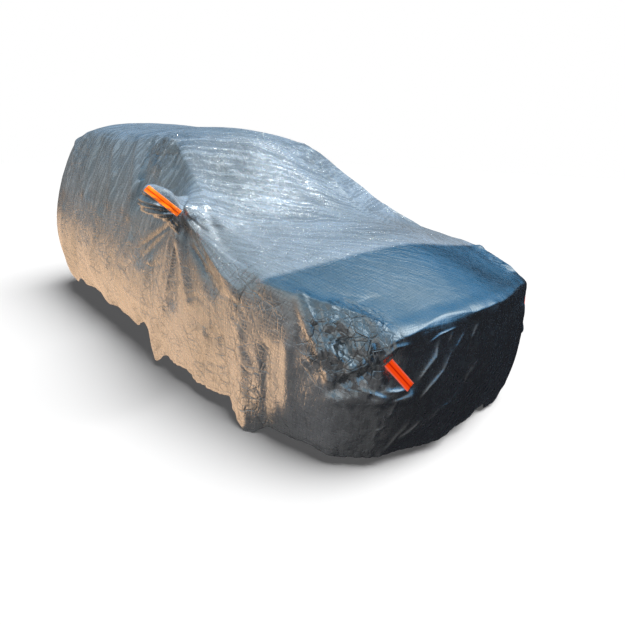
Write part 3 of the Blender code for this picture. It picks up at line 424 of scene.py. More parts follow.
def side_rows(shoulder, belly, hem):
    """Every row of the sides. Where they are boxy, a row above the belly lies further out, but no lower."""
    half = np.interp(np.arange(COLUMNS // 2 + 1), SQUARES_TO[:-1], [station.boxy for station in STATIONS])
    boxy = np.concatenate((half, half[-2:0:-1]))[:, None]
    rows = []
    for down in DOWN:
        ahead = BELLY_DOWN * (down / BELLY_DOWN) ** (1 - boxy) if 0 < down < BELLY_DOWN else down
        row = curve_down(down, shoulder, belly, hem)
        row[:, :2] = curve_down(ahead, shoulder, belly, hem)[:, :2]
        rows.append(row)
    return np.array(rows)


def top_grid(shoulder):
    """The top panel inside the shoulder line: a patch between its four sides, raised by the crown."""
    right = shoulder[COLUMN_FRONT:COLUMN_REAR + 1]
    left = shoulder[[COLUMNS - COLUMN_FRONT - step for step in range(ALONG + 1)]]
    front = shoulder[[(COLUMN_FRONT - step) % COLUMNS for step in range(ACROSS + 1)]]
    rear = shoulder[[COLUMN_REAR + step for step in range(ACROSS + 1)]]
    crowns = np.array([(0.0, 0.0, station.crown) for station in STATIONS])
    crown = [catmull_rom(crowns, number, step / STATIONS[number].squares)[2]
             for number in range(FRONT_CORNER, REAR_CORNER) for step in range(STATIONS[number].squares)]
    crown.append(STATIONS[REAR_CORNER].crown)
    grid = np.zeros((ALONG + 1, ACROSS + 1, 3))
    for i in range(ALONG + 1):
        u = (right[0][0] - right[i][0]) / (right[0][0] - right[-1][0])
        for j in range(ACROSS + 1):
            v = j / ACROSS
            corners = ((1 - u) * ((1 - v) * front[0] + v * front[-1])
                       + u * ((1 - v) * rear[0] + v * rear[-1]))
            grid[i, j] = (1 - v) * right[i] + v * left[i] + (1 - u) * front[j] + u * rear[j] - corners
            grid[i, j, 2] += crown[i] * (1 - (2 * v - 1) ** 2) * min(1.0, u / CROWN_RUN, (1 - u) / CROWN_RUN)
    return grid


# The label of a square of the cover: what is done with it later
NEAR, HOLE, FAR = 0, {"right": 1, "left": 2}, 3
FAR_FIRST, FAR_LAST = 58, 114
ROOF_FROM = 32


def pouch_columns(side):
    """The pouch's first and last column on one side (-1 right, 1 left)."""
    first, last = POUCH_COLUMNS
    return (first, last) if side < 0 else (COLUMNS - last, COLUMNS - first)


def side_label(row, column):
    """The label of a square of the side."""
    for hand in HANDS:
        first, last = pouch_columns(hand.side)
        if hand.rows[0] <= row < hand.rows[1] and first <= column < last:
            return HOLE[hand.name]
    return FAR if FAR_FIRST <= column < FAR_LAST else NEAR


def base_cloth():
    """The cover's coarse squares, which carry how far down and how far round they are, and the UV map."""
    shoulder, belly, hem = (whole_line(line) for line in ("shoulder", "belly", "hem"))
    rows = side_rows(shoulder, belly, hem)
    grid = top_grid(shoulder)
    around = np.concatenate(((0.0,), np.cumsum(np.linalg.norm(np.roll(belly, -1, axis=0) - belly, axis=1))))
    steps_down = np.linalg.norm(np.diff(rows, axis=0), axis=2)
    fall = np.concatenate((np.zeros((1, COLUMNS)), np.cumsum(steps_down, axis=0)))
    mesh = bmesh.new()
    down_layer = mesh.verts.layers.float.new("down")
    turn_x, turn_y = mesh.verts.layers.float.new("turn_x"), mesh.verts.layers.float.new("turn_y")
    uv = mesh.loops.layers.uv.new("cloth")
    side = [[mesh.verts.new(point) for point in row] for row in rows]
    for down, row in zip(DOWN, side):
        for column, vert in enumerate(row):
            vert[down_layer] = down
            vert[turn_x] = math.cos(2 * math.pi * column / COLUMNS)
            vert[turn_y] = math.sin(2 * math.pi * column / COLUMNS)
    top = {(i, j): mesh.verts.new(grid[i, j]) for i in range(1, ALONG) for j in range(1, ACROSS)}
    for i in range(ALONG + 1):
        top[i, 0] = side[0][COLUMN_FRONT + i]
        top[i, ACROSS] = side[0][COLUMNS - COLUMN_FRONT - i]
    for j in range(1, ACROSS):
        top[0, j] = side[0][(COLUMN_FRONT - j) % COLUMNS]
        top[ALONG, j] = side[0][COLUMN_REAR + j]
    for i in range(ALONG):
        for j in range(ACROSS):
            face = mesh.faces.new((top[i, j], top[i + 1, j], top[i + 1, j + 1], top[i, j + 1]))
            face.material_index = FAR if i >= ROOF_FROM else NEAR
            for loop in face.loops:
                loop[uv].uv = loop.vert.co.xy
    for row in range(len(DOWN) - 1):
        for column in range(COLUMNS):
            beside = (column + 1) % COLUMNS
            places = ((row, column), (row + 1, column), (row + 1, column + 1), (row, column + 1))
            face = mesh.faces.new((side[row][column], side[row + 1][column],
                                   side[row + 1][beside], side[row][beside]))
            face.material_index = side_label(row, column)
            for loop, (down, turned) in zip(face.loops, places):
                loop[uv].uv = (fall[down][turned % COLUMNS], around[turned])
    bmesh.ops.recalc_face_normals(mesh, faces=mesh.faces)
    mesh.normal_update()
    band = {vert for row in side[:SHOULDER_ROWS + 1] for vert in row}
    band |= {edge.other_vert(vert) for vert in side[0] for edge in vert.link_edges}
    smooth(mesh, list(band), 1)
    return mesh


def smooth(mesh, verts, passes):
    """Moves each of these vertices half of its way to the middle of its neighbours, so many times."""
    axes = {"use_axis_" + axis: True for axis in "xyz"}
    for _ in range(passes):
        bmesh.ops.smooth_vert(mesh, verts=verts, factor=0.5, **axes)


def with_modifiers(mesh, *modifiers):
    """The bmesh after these modifiers, each a kind and its settings, which leave no modifier behind."""
    data = bpy.data.meshes.new("cloth")
    mesh.to_mesh(data)
    thing = bpy.data.objects.new("cloth", data)
    bpy.context.collection.objects.link(thing)
    for kind, settings in modifiers:
        modifier = thing.modifiers.new(kind, kind)
        for name, value in settings.items():
            setattr(modifier, name, value)
    depsgraph = bpy.context.evaluated_depsgraph_get()
    result = bmesh.new()
    result.from_mesh(bpy.data.meshes.new_from_object(thing.evaluated_get(depsgraph), depsgraph=depsgraph))
    bpy.data.objects.remove(thing)
    result.normal_update()
    return result


def finer(mesh):
    """The same cloth in smaller squares: six times smaller each way, and four times on the far side."""
    result = with_modifiers(mesh, ("SUBSURF", {"levels": 1, "render_levels": 1}))
    far = [edge for edge in result.edges if all(face.material_index == FAR for face in edge.link_faces)]
    bmesh.ops.subdivide_edges(result, edges=far, cuts=1, use_grid_fill=True)
    near = [edge for edge in result.edges if any(face.material_index != FAR for face in edge.link_faces)]
    bmesh.ops.subdivide_edges(result, edges=near, cuts=2, use_grid_fill=True)
    smooth(result, [vert for vert in result.verts if not vert.is_boundary], 3)
    result.normal_update()
    return result


def places_of(mesh):
    """The places and normals of a mesh's vertices."""
    return np.array([vert.co for vert in mesh.verts]), np.array([vert.normal for vert in mesh.verts])


def move_to(mesh, points):
    """Puts the mesh's vertices at these points."""
    for vert, point in zip(mesh.verts, points):
        vert.co = point
    mesh.normal_update()


def raise_tents(mesh):
    """Pushes the cloth out on each side, as a tent that is steepest at the pouch."""
    points, _ = places_of(mesh)
    for hand in HANDS:
        flip = np.array((1.0, hand.side, 1.0))
        away = np.linalg.norm(points - np.multiply(TENT_AT, flip), axis=1)
        shape = np.exp(TENT_BLUNT - np.sqrt(away ** 2 / TENT_REACH ** 2 + TENT_BLUNT ** 2))
        points = points + hand.tent * shape[:, None] * np.multiply(TENT_LIFT, flip)
    move_to(mesh, points)


def near_way(points, normals, way, reach, depth):
    """The points near a way: their numbers, how far along it they are (0 to 1), and how far from it."""
    way = np.array(way)
    inside = ((points > way.min(axis=0) - reach) & (points < way.max(axis=0) + reach)).all(axis=1)
    chosen = np.nonzero(inside)[0]
    here, facing = points[chosen], normals[chosen]
    along, away = np.zeros(len(chosen)), np.full(len(chosen), np.inf)
    lengths = np.linalg.norm(np.diff(way, axis=0), axis=1)
    passed = 0.0
    for start, end, length in zip(way, way[1:], lengths):
        part = np.clip((here - start) @ (end - start) / length ** 2, 0.0, 1.0)
        apart = here - start - part[:, None] * (end - start)
        under = (apart * facing).sum(axis=1)
        flat = np.sqrt(np.maximum((apart ** 2).sum(axis=1) - under ** 2, 0.0))
        flat[np.abs(under) > depth] = np.inf
        closer = flat < away
        away[closer] = flat[closer]
        along[closer] = (passed + part[closer] * length) / lengths.sum()
        passed += length
    return chosen, along, away


def mirrored(row):
    """The same fold or crease on the left side."""
    flip = (1.0, -1.0, 1.0)
    if isinstance(row, Crease):
        return row._replace(way=tuple(tuple(np.multiply(point, flip)) for point in row.way))
    return row._replace(start=tuple(np.multiply(row.start, flip)), end=tuple(np.multiply(row.end, flip)))


def lay_folds(mesh):
    """Raises the folds and the uneven cloth between them, as the solids have them."""
    points, normals = places_of(mesh)
    lift = np.array([RUMPLE * noise.noise(Vector(point / RUMPLE_SIZE)) for point in points])
    for fold in SIDE_FOLDS + tuple(mirrored(fold) for fold in SIDE_FOLDS) + MIDDLE_FOLDS:
        reach = FOLD_REACH * max(fold.width_start, fold.width_end)
        chosen, along, away = near_way(points, normals, (fold.start, fold.end), reach, FOLD_DEPTH)
        width = fold.width_start + (fold.width_end - fold.width_start) * along
        lift[chosen] += fold.height * np.exp(-(away / width) ** 2)
    move_to(mesh, points + lift[:, None] * normals)


def refine_near(mesh, creases, widths):
    """Halves the squares within so many widths of a crease, so that it stays sharp."""
    centres = np.array([face.calc_center_median() for face in mesh.faces])
    normals = np.array([face.normal for face in mesh.faces])
    mesh.faces.ensure_lookup_table()
    edges = set()
    for crease in creases:
        reach = widths * crease.width
        chosen, _, away = near_way(centres, normals, crease.way, reach, CREASE_DEPTH)
        for number in chosen[away < reach]:
            edges.update(mesh.faces[number].edges)
    bmesh.ops.subdivide_edges(mesh, edges=list(edges), cuts=1, use_grid_fill=True)
    mesh.normal_update()


def facets_at(points):
    """How crumpled the film is at each point, from 0 to 1."""
    amount = np.full(len(points), FACETS_LEAST)
    for patch in PATCHES:
        away = np.linalg.norm(points - patch.middle, axis=1)
        amount = np.maximum(amount, patch.facets * np.exp(-(away / patch.reach) ** 2))
    return amount


def facet_lift(points):
    """Flat facets: uneven heights at the corners of slanted lattices of triangles, and straight slopes."""
    across, up = points @ np.array(FACETS_ACROSS), points @ np.array(FACETS_UP)
    random = np.random.default_rng(LATTICE_SEED)
    lift = np.zeros(len(points))
    for lattice in LATTICES:
        heights = random.uniform(-lattice.height, lattice.height, (LATTICE_REPEAT, LATTICE_REPEAT))
        cosine, sine = math.cos(lattice.turn), math.sin(lattice.turn)
        rise = (across * sine + up * cosine) / lattice.size
        run = (across * cosine - up * sine) / lattice.size + LATTICE_SLANT * rise
        i, j = np.floor(run).astype(int), np.floor(rise).astype(int)
        p, q = run - i, rise - j
        near, ahead, above, beyond = (heights[(i + right) % LATTICE_REPEAT, (j + higher) % LATTICE_REPEAT]
                                      for right, higher in ((0, 0), (1, 0), (0, 1), (1, 1)))
        lower = near + p * (ahead - near) + q * (above - near)
        upper = beyond + (1 - p) * (above - beyond) + (1 - q) * (ahead - beyond)
        lift += np.where(p + q < 1, lower, upper)
    return lift


def sharpen_edges(mesh):
    """Draws the rounded cloth out to a corner along the bonnet's and the windscreen's edges."""
    points, normals = places_of(mesh)
    lift = np.zeros(len(points))
    for edge in EDGES + (PILLAR, mirrored(PILLAR)):
        chosen, along, away = near_way(points, normals, edge.way, edge.width, EDGE_DEPTH)
        part = np.clip(1 - away / edge.width, 0.0, 1.0)
        taper = fade(EDGE_TAPER * np.minimum(along, 1 - along))
        lift[chosen] = np.maximum(lift[chosen], edge.height * part ** 2 * taper)
    move_to(mesh, points + lift[:, None] * normals)


def lay_creases(mesh, creases):
    """Raises the facets and the sharp creases."""
    points, normals = places_of(mesh)
    lift = facets_at(points) * facet_lift(points)
    for crease in creases:
        reach = CREASE_REACH * crease.width
        chosen, along, away = near_way(points, normals, crease.way, reach, CREASE_DEPTH)
        taper = np.sqrt(np.sin(math.pi * np.clip(along, *CREASE_ENDS)))
        sharp = np.exp((CREASE_TIP - np.hypot(away, CREASE_TIP)) / crease.width)
        lift[chosen] += crease.height * taper * sharp * fade((reach - away) / crease.width)
    move_to(mesh, points + lift[:, None] * normals)


def fade(value):
    """0 below 0, 1 above 1, and smooth between."""
    value = np.clip(value, 0.0, 1.0)
    return value * value * (3 - 2 * value)


def column_of(mesh):
    """How far round each vertex is, in columns."""
    turn_x, turn_y = mesh.verts.layers.float["turn_x"], mesh.verts.layers.float["turn_y"]
    turn = np.array([(vert[turn_x], vert[turn_y]) for vert in mesh.verts])
    return (np.arctan2(turn[:, 1], turn[:, 0]) / (2 * math.pi) * COLUMNS) % COLUMNS


def gather_hem(mesh):
    """Draws the hem up into its scallops and small gathers, lower or higher where it is caught."""
    down = np.array([vert[mesh.verts.layers.float["down"]] for vert in mesh.verts])
    hem = whole_line("hem")
    steps = np.linalg.norm(np.roll(hem, -1, axis=0) - hem, axis=1)
    length = steps.sum()
    along = np.interp(column_of(mesh), np.arange(COLUMNS + 1), np.concatenate(((0.0,), np.cumsum(steps))))
    points, normals = places_of(mesh)
    swing, lift = np.zeros(len(points)), np.zeros(len(points))
    for wave in HEM_WAVES:
        angle = 2 * math.pi * round(length / wave.pitch) * along / length + wave.phase
        swing += wave.swing * np.sin(angle)
        lift += wave.lift * np.sin(angle + HEM_LAG)
    for catch in HEM_CATCHES:
        own_side = points[:, 1] * catch.side > CATCH_SIDE
        shape = np.exp(-((points[:, 0] - catch.x) / catch.reach) ** 2) * own_side
        swing += catch.out * shape
        lift += catch.lift * shape
    share = fade((down - 1 + HEM_REACH) / HEM_REACH)
    gathers = 2 * math.pi * round(length / HEM_GATHER.pitch) * along / length
    uneven = np.array([noise.noise(Vector((place * GATHER_UNEVEN, 0.5, 0.5))) for place in along])
    gathers += HEM_GATHER.phase + GATHER_STRAY * uneven
    low = fade((down - GATHER_FROM) / GATHER_OVER) * (GATHER_LEAST + GATHER_MORE * np.abs(uneven))
    outward = normals * (1.0, 1.0, 0.0)
    outward /= np.maximum(np.linalg.norm(outward, axis=1), 1e-6)[:, None]
    out = share * swing + low * HEM_GATHER.swing * np.sin(gathers)
    points = points + out[:, None] * outward
    points[:, 2] += share * lift + low * HEM_GATHER.lift * np.sin(gathers + HEM_LAG)
    move_to(mesh, points)


def turn_in_hem(mesh):
    """Turns the hem in and up inside, as the tunnel of its elastic."""
    down = mesh.verts.layers.float["down"]
    rim = [edge for edge in mesh.edges
           if edge.is_boundary and min(vert[down] for vert in edge.verts) > AT_HEM]
    outward = {vert: Vector((vert.normal.x, vert.normal.y, 0.0)).normalized()
               for edge in rim for vert in edge.verts}
    start = {vert: vert.co.copy() for vert in outward}
    for inwards, up in HEM_TURNS:
        made = bmesh.ops.extrude_edge_only(mesh, edges=rim)["geom"]
        rim = [part for part in made if isinstance(part, bmesh.types.BMEdge) and part.is_boundary]
        moved = {vert for edge in rim for vert in edge.verts}
        below = {vert: next(edge.other_vert(vert) for edge in vert.link_edges
                            if edge.other_vert(vert) in outward) for vert in moved}
        outward = {vert: outward[below[vert]] for vert in moved}
        start = {vert: start[below[vert]] for vert in moved}
        for vert in moved:
            vert.co = start[vert] - inwards * outward[vert] + Vector((0.0, 0.0, up))
    mesh.normal_update()


# ---------------------------------------------------------------- the mirror pouches
# Each grows out of its hole in the cover through rings: rounded oblongs round the pouch's axis
POUCH_BACK = 0.13
Ring = namedtuple("Ring", "out half_length half_height roundness shift_x shift_up")
POUCH_RINGS = (
    Ring(0.000, 0.070, 0.066, 3.0, 0.000, 0.000),
    Ring(0.020, 0.070, 0.066, 3.0, 0.000, 0.006),
    Ring(0.050, 0.074, 0.070, 3.2, 0.004, 0.020),
    Ring(0.085, 0.075, 0.075, 3.4, 0.004, 0.032),
    Ring(0.120, 0.073, 0.077, 3.4, 0.002, 0.040),
    Ring(0.155, 0.068, 0.074, 3.2, -0.002, 0.043),
    Ring(0.185, 0.058, 0.065, 3.0, -0.006, 0.042),
    Ring(0.203, 0.040, 0.046, 2.8, -0.008, 0.040),
    Ring(0.210, 0.004, 0.005, 2.4, -0.008, 0.038),
)
POUCH_ROOT = 0.085
POUCH_STEPS, POUCH_EVEN = 36, 0.9   # the rings of its mesh, and how they close up towards its end
POUCH_SEWN = 0.0012
POUCH_BORDER = 2                # squares of cloth round the hole that its border covers
HOLE_SLACK = 0.01
# Pleats below its strip, which run out from the tip at its root: the angle between them, and their height
PLEAT_TIP, PLEAT_ANGLE, PLEAT_HEIGHT = (0.79, 0.86, 1.02), 0.165, 0.0065
PLEATS_UP_TO, PLEATS_FADE, PLEATS_ROOT = 0.62, 0.12, 0.06
PLEATS_UNEVEN, PLEATS_STRAY = 6, 3
POUCH_FACETS = 0.4              # how crumpled the pouch is


def turn_round_hole(row, column, hand):
    """How far round the hole a point of its rim is, in turns from its upper corner towards the nose."""
    first, last = pouch_columns(hand.side)
    top, bottom = hand.rows
    back = (column - first) / (last - first) if hand.side < 0 else (last - column) / (last - first)
    down = (row - top) / (bottom - top)
    edges = ((abs(down), back), (abs(1 - back), 1 + down), (abs(1 - down), 3 - back), (abs(back), 4 - down))
    return min(edges)[1] / 4 % 1.0


def ring_at(out):
    """The pouch's ring this far out, between the rings of the table."""
    outs = [ring.out for ring in POUCH_RINGS]
    columns = list(zip(*POUCH_RINGS))[1:]
    return Ring(out, *(float(np.interp(out, outs, column)) for column in columns))


def sewn_border(whole, hand):
    """The pouch's narrow border, which lies on the cover, and its inner rim: vertices and turns round it."""
    mesh = whole.copy()
    hole = {face for face in mesh.faces if face.material_index == HOLE[hand.name]}
    border, verts = set(), {vert for face in hole for vert in face.verts}
    for _ in range(POUCH_BORDER):
        border |= {face for vert in verts for face in vert.link_faces} - hole
        verts = {vert for face in border for vert in face.verts}
    for vert in verts:
        vert.co += POUCH_SEWN * vert.normal
    bmesh.ops.delete(mesh, geom=[face for face in mesh.faces if face not in border], context="FACES")
    down, column = mesh.verts.layers.float["down"], column_of(mesh)
    first, last = pouch_columns(hand.side)
    turns = {}
    for number, vert in enumerate(mesh.verts):
        row = float(np.interp(vert[down], DOWN, np.arange(len(DOWN))))
        inside = (hand.rows[0] - HOLE_SLACK < row < hand.rows[1] + HOLE_SLACK
                  and first - HOLE_SLACK < column[number] < last + HOLE_SLACK)
        if vert.is_boundary and inside:
            turns[vert] = turn_round_hole(row, column[number], hand)
    rim = sorted(turns, key=turns.get)
    return mesh, rim, np.array([turns[vert] for vert in rim])


def grow_rings(mesh, rim, turn, hand):
    """The pouch's cloth, in rings from its rim to its closed end. Returns its rings, reaches and axis."""
    below_places = np.array([vert.co for vert in rim])
    axis = Vector((-POUCH_BACK, hand.side, hand.rise)).normalized()
    root = Vector(below_places.mean(axis=0))
    up = Vector((0.0, 0.0, 1.0))
    up = (up - up.dot(axis) * axis).normalized()
    ahead = Vector((1.0, 0.0, 0.0))
    ahead = (ahead - ahead.dot(axis) * axis - ahead.dot(up) * up).normalized()
    angle = math.pi / 4 + 2 * math.pi * turn
    cosine, sine = np.cos(angle), np.sin(angle)
    outs = np.sin(np.linspace(0, math.pi / 2, POUCH_STEPS + 1)[1:]) ** POUCH_EVEN * POUCH_RINGS[-1].out
    rings = [rim]
    for out in map(float, outs):
        ring = ring_at(out)
        power = 2 / ring.roundness
        length = ring.half_length * np.sign(cosine) * np.abs(cosine) ** power + ring.shift_x
        height = ring.half_height * np.sign(sine) * np.abs(sine) ** power + hand.perk * ring.shift_up
        oblong = root + hand.reach * out * axis
        places = np.array(oblong) + length[:, None] * np.array(ahead) + height[:, None] * np.array(up)
        own = float(fade(out / POUCH_ROOT))
        straight = below_places + hand.reach * out * np.array(axis)
        rings.append([mesh.verts.new(point) for point in straight + own * (places - straight)])
    uv = mesh.loops.layers.uv["cloth"]
    for step, (below, above) in enumerate(zip(rings, rings[1:])):
        for number in range(len(rim)):
            beside = (number + 1) % len(rim)
            face = mesh.faces.new((below[number], below[beside], above[beside], above[number]))
            for loop, (level, around) in zip(face.loops, ((0, 0), (0, 1), (1, 1), (1, 0))):
                reached = 0.0 if step + level == 0 else float(outs[step + level - 1])
                loop[uv].uv = (reached, 0.5 * (number + around) / len(rim))
    mesh.faces.new(rings[-1])
    return rings, outs, axis


def pleat(mesh, own, reached, hand):
    """Draws the pouch's cloth into pleats below its strip, and crumples it."""
    points = np.array([vert.co for vert in own])
    from_tip = points - np.multiply(PLEAT_TIP, (1.0, hand.side, 1.0))
    angle = np.arctan2(from_tip[:, 2], np.hypot(from_tip[:, 0], from_tip[:, 1]))
    uneven = np.array([noise.noise(Vector((value * PLEATS_UNEVEN, 0.3, 0.7))) for value in angle])
    pleats = PLEAT_HEIGHT * np.sin(2 * math.pi * angle / PLEAT_ANGLE + PLEATS_STRAY * uneven)
    dents = pleats * fade((PLEATS_UP_TO - angle) / PLEATS_FADE) + POUCH_FACETS * facet_lift(points)
    mesh.normal_update()
    for vert, dent, out in zip(own, dents, reached):
        vert.co += float(dent * fade(out / PLEATS_ROOT)) * vert.normal
    mesh.normal_update()


def make_pouch(whole, hand):
    """One pouch: its narrow sewn border, which lies on the cover, and its cloth out to the closed end."""
    mesh, rim, turn = sewn_border(whole, hand)
    rings, outs, axis = grow_rings(mesh, rim, turn, hand)
    bmesh.ops.recalc_face_normals(mesh, faces=mesh.faces)
    mesh.normal_update()
    if sum(vert.normal.dot(axis) for vert in rings[-1]) < 0:
        bmesh.ops.reverse_faces(mesh, faces=mesh.faces)
        mesh.normal_update()
    own = [vert for ring in rings[2:] for vert in ring]
    smooth(mesh, own, 1)
    pleat(mesh, own, np.repeat(outs[1:], len(rim)), hand)
    return mesh


# ---------------------------------------------------------------- the reflective tapes
Tape = namedtuple("Tape", "name middle along facing length width")
TAPES = (
    Tape("strip_pocket", (0.776, -0.970, 1.095), (0.729, 0.446, -0.580), (0.675, -0.649, 0.351),
         0.168, 0.036),
    Tape("strip_corner", (1.95, -0.59, 0.50), (0.34, 0.57, -0.75), (0.86, -0.50, 0.05), 0.163, 0.042),
)
TAPE_LIFT, TAPE_THICK, TAPE_STITCH_IN = 0.0016, 0.0010, 0.0030
TAPE_TURNS = 0.1                # how far its cloth may turn from facing its way, as a cosine
TAPE_POINTS, STITCHES_SUNK = 24, 1.4   # points of its stitching on each side, and their height in thicknesses


def make_tape(under, tape, side):
    """A tape cut from a copy of the surface that it is sewn to, with its length and width as its UV map."""
    mesh = under.copy()
    flip = Vector((1.0, -side, 1.0))
    middle, along = Vector(tape.middle) * flip, (Vector(tape.along) * flip).normalized()
    mesh.faces.ensure_lookup_table()
    nearest = min(mesh.faces, key=lambda face: (face.calc_center_median() - middle).length)
    middle = nearest.calc_center_median()
    facing = (Vector(tape.facing) * flip).normalized()
    along = (along - along.dot(facing) * facing).normalized()
    across = facing.cross(along)
    away = [face for face in mesh.faces if face.normal.dot(facing) < TAPE_TURNS
            or (face.calc_center_median() - middle).length > 2 * tape.length]
    bmesh.ops.delete(mesh, geom=away, context="FACES")
    smooth(mesh, [vert for vert in mesh.verts if not vert.is_boundary], 2)
    mesh.normal_update()
    bmesh.ops.subdivide_edges(mesh, edges=mesh.edges[:], cuts=1, use_grid_fill=True)
    mesh.normal_update()
    for vert in mesh.verts:
        vert.co += TAPE_LIFT * vert.normal
    for direction, half in ((along, tape.length / 2), (across, tape.width / 2)):
        for end in (-1, 1):
            parts = mesh.verts[:] + mesh.edges[:] + mesh.faces[:]
            bmesh.ops.bisect_plane(mesh, geom=parts, plane_co=middle + end * half * direction,
                                   plane_no=end * direction, clear_outer=True)
    island = {min(mesh.faces, key=lambda face: (face.calc_center_median() - middle).length)}
    found = list(island)
    while found:
        beside = {other for edge in found.pop().edges for other in edge.link_faces} - island
        island |= beside
        found += list(beside)
    bmesh.ops.delete(mesh, geom=[face for face in mesh.faces if face not in island], context="FACES")
    uv = mesh.loops.layers.uv["cloth"]
    for face in mesh.faces:
        for loop in face.loops:
            loop[uv].uv = ((loop.vert.co - middle).dot(along), (loop.vert.co - middle).dot(across))
    surface = BVHTree.FromBMesh(mesh)
    half_length, half_width = tape.length / 2 - TAPE_STITCH_IN, tape.width / 2 - TAPE_STITCH_IN
    corners = [middle + a * half_length * along + b * half_width * across
               for a, b in ((-1, -1), (1, -1), (1, 1), (-1, 1))]
    path = []
    for corner, beyond in zip(corners, corners[1:] + corners[:1]):
        for step in range(TAPE_POINTS):
            place, normal, _, _ = surface.find_nearest(corner.lerp(beyond, step / TAPE_POINTS))
            path.append(place + TAPE_THICK * STITCHES_SUNK * normal)
    return with_modifiers(mesh, ("SOLIDIFY", {"thickness": TAPE_THICK, "offset": 1.0})), path


# ---------------------------------------------------------------- materials
# The kinds of node that come up most, and their settings
MATHS, VECTOR, SPAN = "ShaderNodeMath", "ShaderNodeVectorMath", "ShaderNodeMapRange"
NOISE, CELLS, MIXED = "ShaderNodeTexNoise", "ShaderNodeTexVoronoi", "ShaderNodeMix"
PARTS, TOGETHER, PLACE = "ShaderNodeSeparateXYZ", "ShaderNodeCombineXYZ", "ShaderNodeTexCoord"
PLUS, MINUS, TIMES = ({"operation": name} for name in ("ADD", "SUBTRACT", "MULTIPLY"))
TIMES_PLUS, LARGER, SMALLER = ({"operation": name} for name in ("MULTIPLY_ADD", "MAXIMUM", "MINIMUM"))
UNSIGNED, DISTANCE = {"operation": "ABSOLUTE"}, {"operation": "DISTANCE"}
SCALED, DOT = {"operation": "SCALE"}, {"operation": "DOT_PRODUCT"}
SMOOTHLY, COLOURS = {"interpolation_type": "SMOOTHSTEP"}, {"data_type": "RGBA"}
HALF = (0.5, 0.5, 0.5)
CLOTH_UV = {"uv_map": "cloth"}


def linear(colour):
    """An sRGB hex colour as the linear values that the shader takes."""
    parts = [int(colour[place:place + 2], 16) / 255 for place in (1, 3, 5)]
    lights = (part / 12.92 if part <= 0.04045 else ((part + 0.055) / 1.055) ** 2.4 for part in parts)
    return (*lights, 1.0)


def add(tree, kind, settings=None, **links):
    """A node of this kind, with its settings, and its inputs linked or set by name (spaces as _)."""
    node = tree.nodes.new(kind)
    for name, value in (settings or {}).items():
        setattr(node, name, value)
    for name, value in links.items():
        place = int(name[1:]) if name[0] == "n" and name[1:].isdigit() else name.replace("_", " ")
        if isinstance(value, bpy.types.NodeSocket):
            tree.links.new(value, node.inputs[place])
        else:
            node.inputs[place].default_value = value
    return node


def new_material(name, **settings):
    """A material whose shader has these values on its own sockets, with its node tree and shader."""
    material = bpy.data.materials.new(name)
    material.use_nodes = True
    tree = material.node_tree
    shader = tree.nodes["Principled BSDF"]
    for key, value in settings.items():
        shader.inputs[key.replace("_", " ")].default_value = value
    return material, tree, shader


# The film's zones, in the model's own frame. Its top is drawn smooth, and its sides are crumpled
TOP = (-0.80, -0.50)             # the heights between which the sides' patterns give way to the top's
NOSE, NOSE_CALM = (1.80, 2.40), 0.75      # every pattern fades over this stretch, by this share
CORNER, PAST_CORNER = (1.90, 2.10), 0.12  # the drawn lines and the nets fade here, to this share
WARP_SCALE, WARP_DETAIL, WARP_BENDS = 7.0, 2.0, 0.05

# The fan: creases and pleats that run out from the root of each pouch
TIP = (0.79, -0.86, 1.04)        # where they meet, at the root of the right pouch
FAN_AWAY = (0.05, 1.30)          # how far from there they are lowest and highest
FAN_DEPTH = (0.0004, 0.0038)     # and how high they are
FAN_TURN = 0.38                  # behind this angle, forward of straight across, they run level
FAN_PITCHES = (34.0, 9.0)        # fine creases and broad pleats to a radian
FAN_LONG, FAN_BENDS = 0.06, 1.3  # how much slower they change along their length, and how much they bend
FAN_SEED = 3.7                   # sets the two pouches' noise apart
FAN_MEET = (0.15, 0.55)          # where across the cover the right pouch's fan gives way to the left one's
# FAN_SHADE: painted shade between the fan's thin creases, which leaves their ridges as painted bright lines
FAN_THIN, FAN_SHADE, BROAD_BY = 0.120, 0.36, 3.0

DRAWN_PITCH, DRAWN_BENDS, DRAWN_DEPTH = (7.0, 55.0, 1.0), 3.0, 0.0011

# Where the film is crumpled into small facets, on both sides
CRUMPLED = (
    Patch("corner over the tape", (1.79, -0.75, 0.59), 0.27, 1.00),
    Patch("head of the pillar", (0.06, -0.56, 1.34), 0.30, 0.70),
    Patch("by the pouch", (0.30, -0.80, 0.98), 0.25, 0.30),
    Patch("windscreen, near", (0.33, -0.36, 1.26), 0.34, 0.32),
    Patch("front arch", (1.30, -0.86, 0.22), 0.28, 0.12),
    Patch("lower corner", (1.76, -0.74, 0.24), 0.34, 0.30),
    Patch("rear shoulder", (-1.25, -0.66, 1.22), 0.35, 0.40),
    Patch("flap", (0.34, -0.91, 0.12), 0.13, 1.20),
)
CRUMPLED_FULLY = 0.4             # within this share of a patch's reach
SLIVER_TURN, SLIVER_SCALE = (0.6, 0.4, 0.9), (1.0, 2.2, 0.8)
SLIVERS = ((17.0, 0.56), (43.0, 0.44))   # facets to a metre, and how far they tilt
CRUMPLE_SCALE, CRUMPLE_DEPTH, CRUMPLE_OFF_TOP = 34.0, 0.0022, 0.7

# Nets of fine creases, which come and go
Net = namedtuple("Net", "scale depth width")
NETS = (Net(9.5, 0.0030, 0.042), Net(23.0, 0.0020, 0.060))
NET_BREAKS, NET_LEAST, NET_BREAK_SCALE = (0.36, 0.54), 0.25, 6.0
# NET_SHADE: painted shade, the film's colour darkened in the nets' grooves
NET_OFF_TOP, NET_SHADE = 0.92, 0.17

SQUARE = 0.017                   # the embossed grid
# SQUARE_SHADE: painted shade, the film's colour darkened along the grid's grooves
SQUARE_RIM, SQUARE_DEPTH, SQUARE_SHADE = (0.36, 0.50), 0.0006, 0.84
FILM_ROUGHNESS, FILM_DUST, FILM_DUST_SCALE = (0.22, 0.32), (0.35, 0.70), 2.2


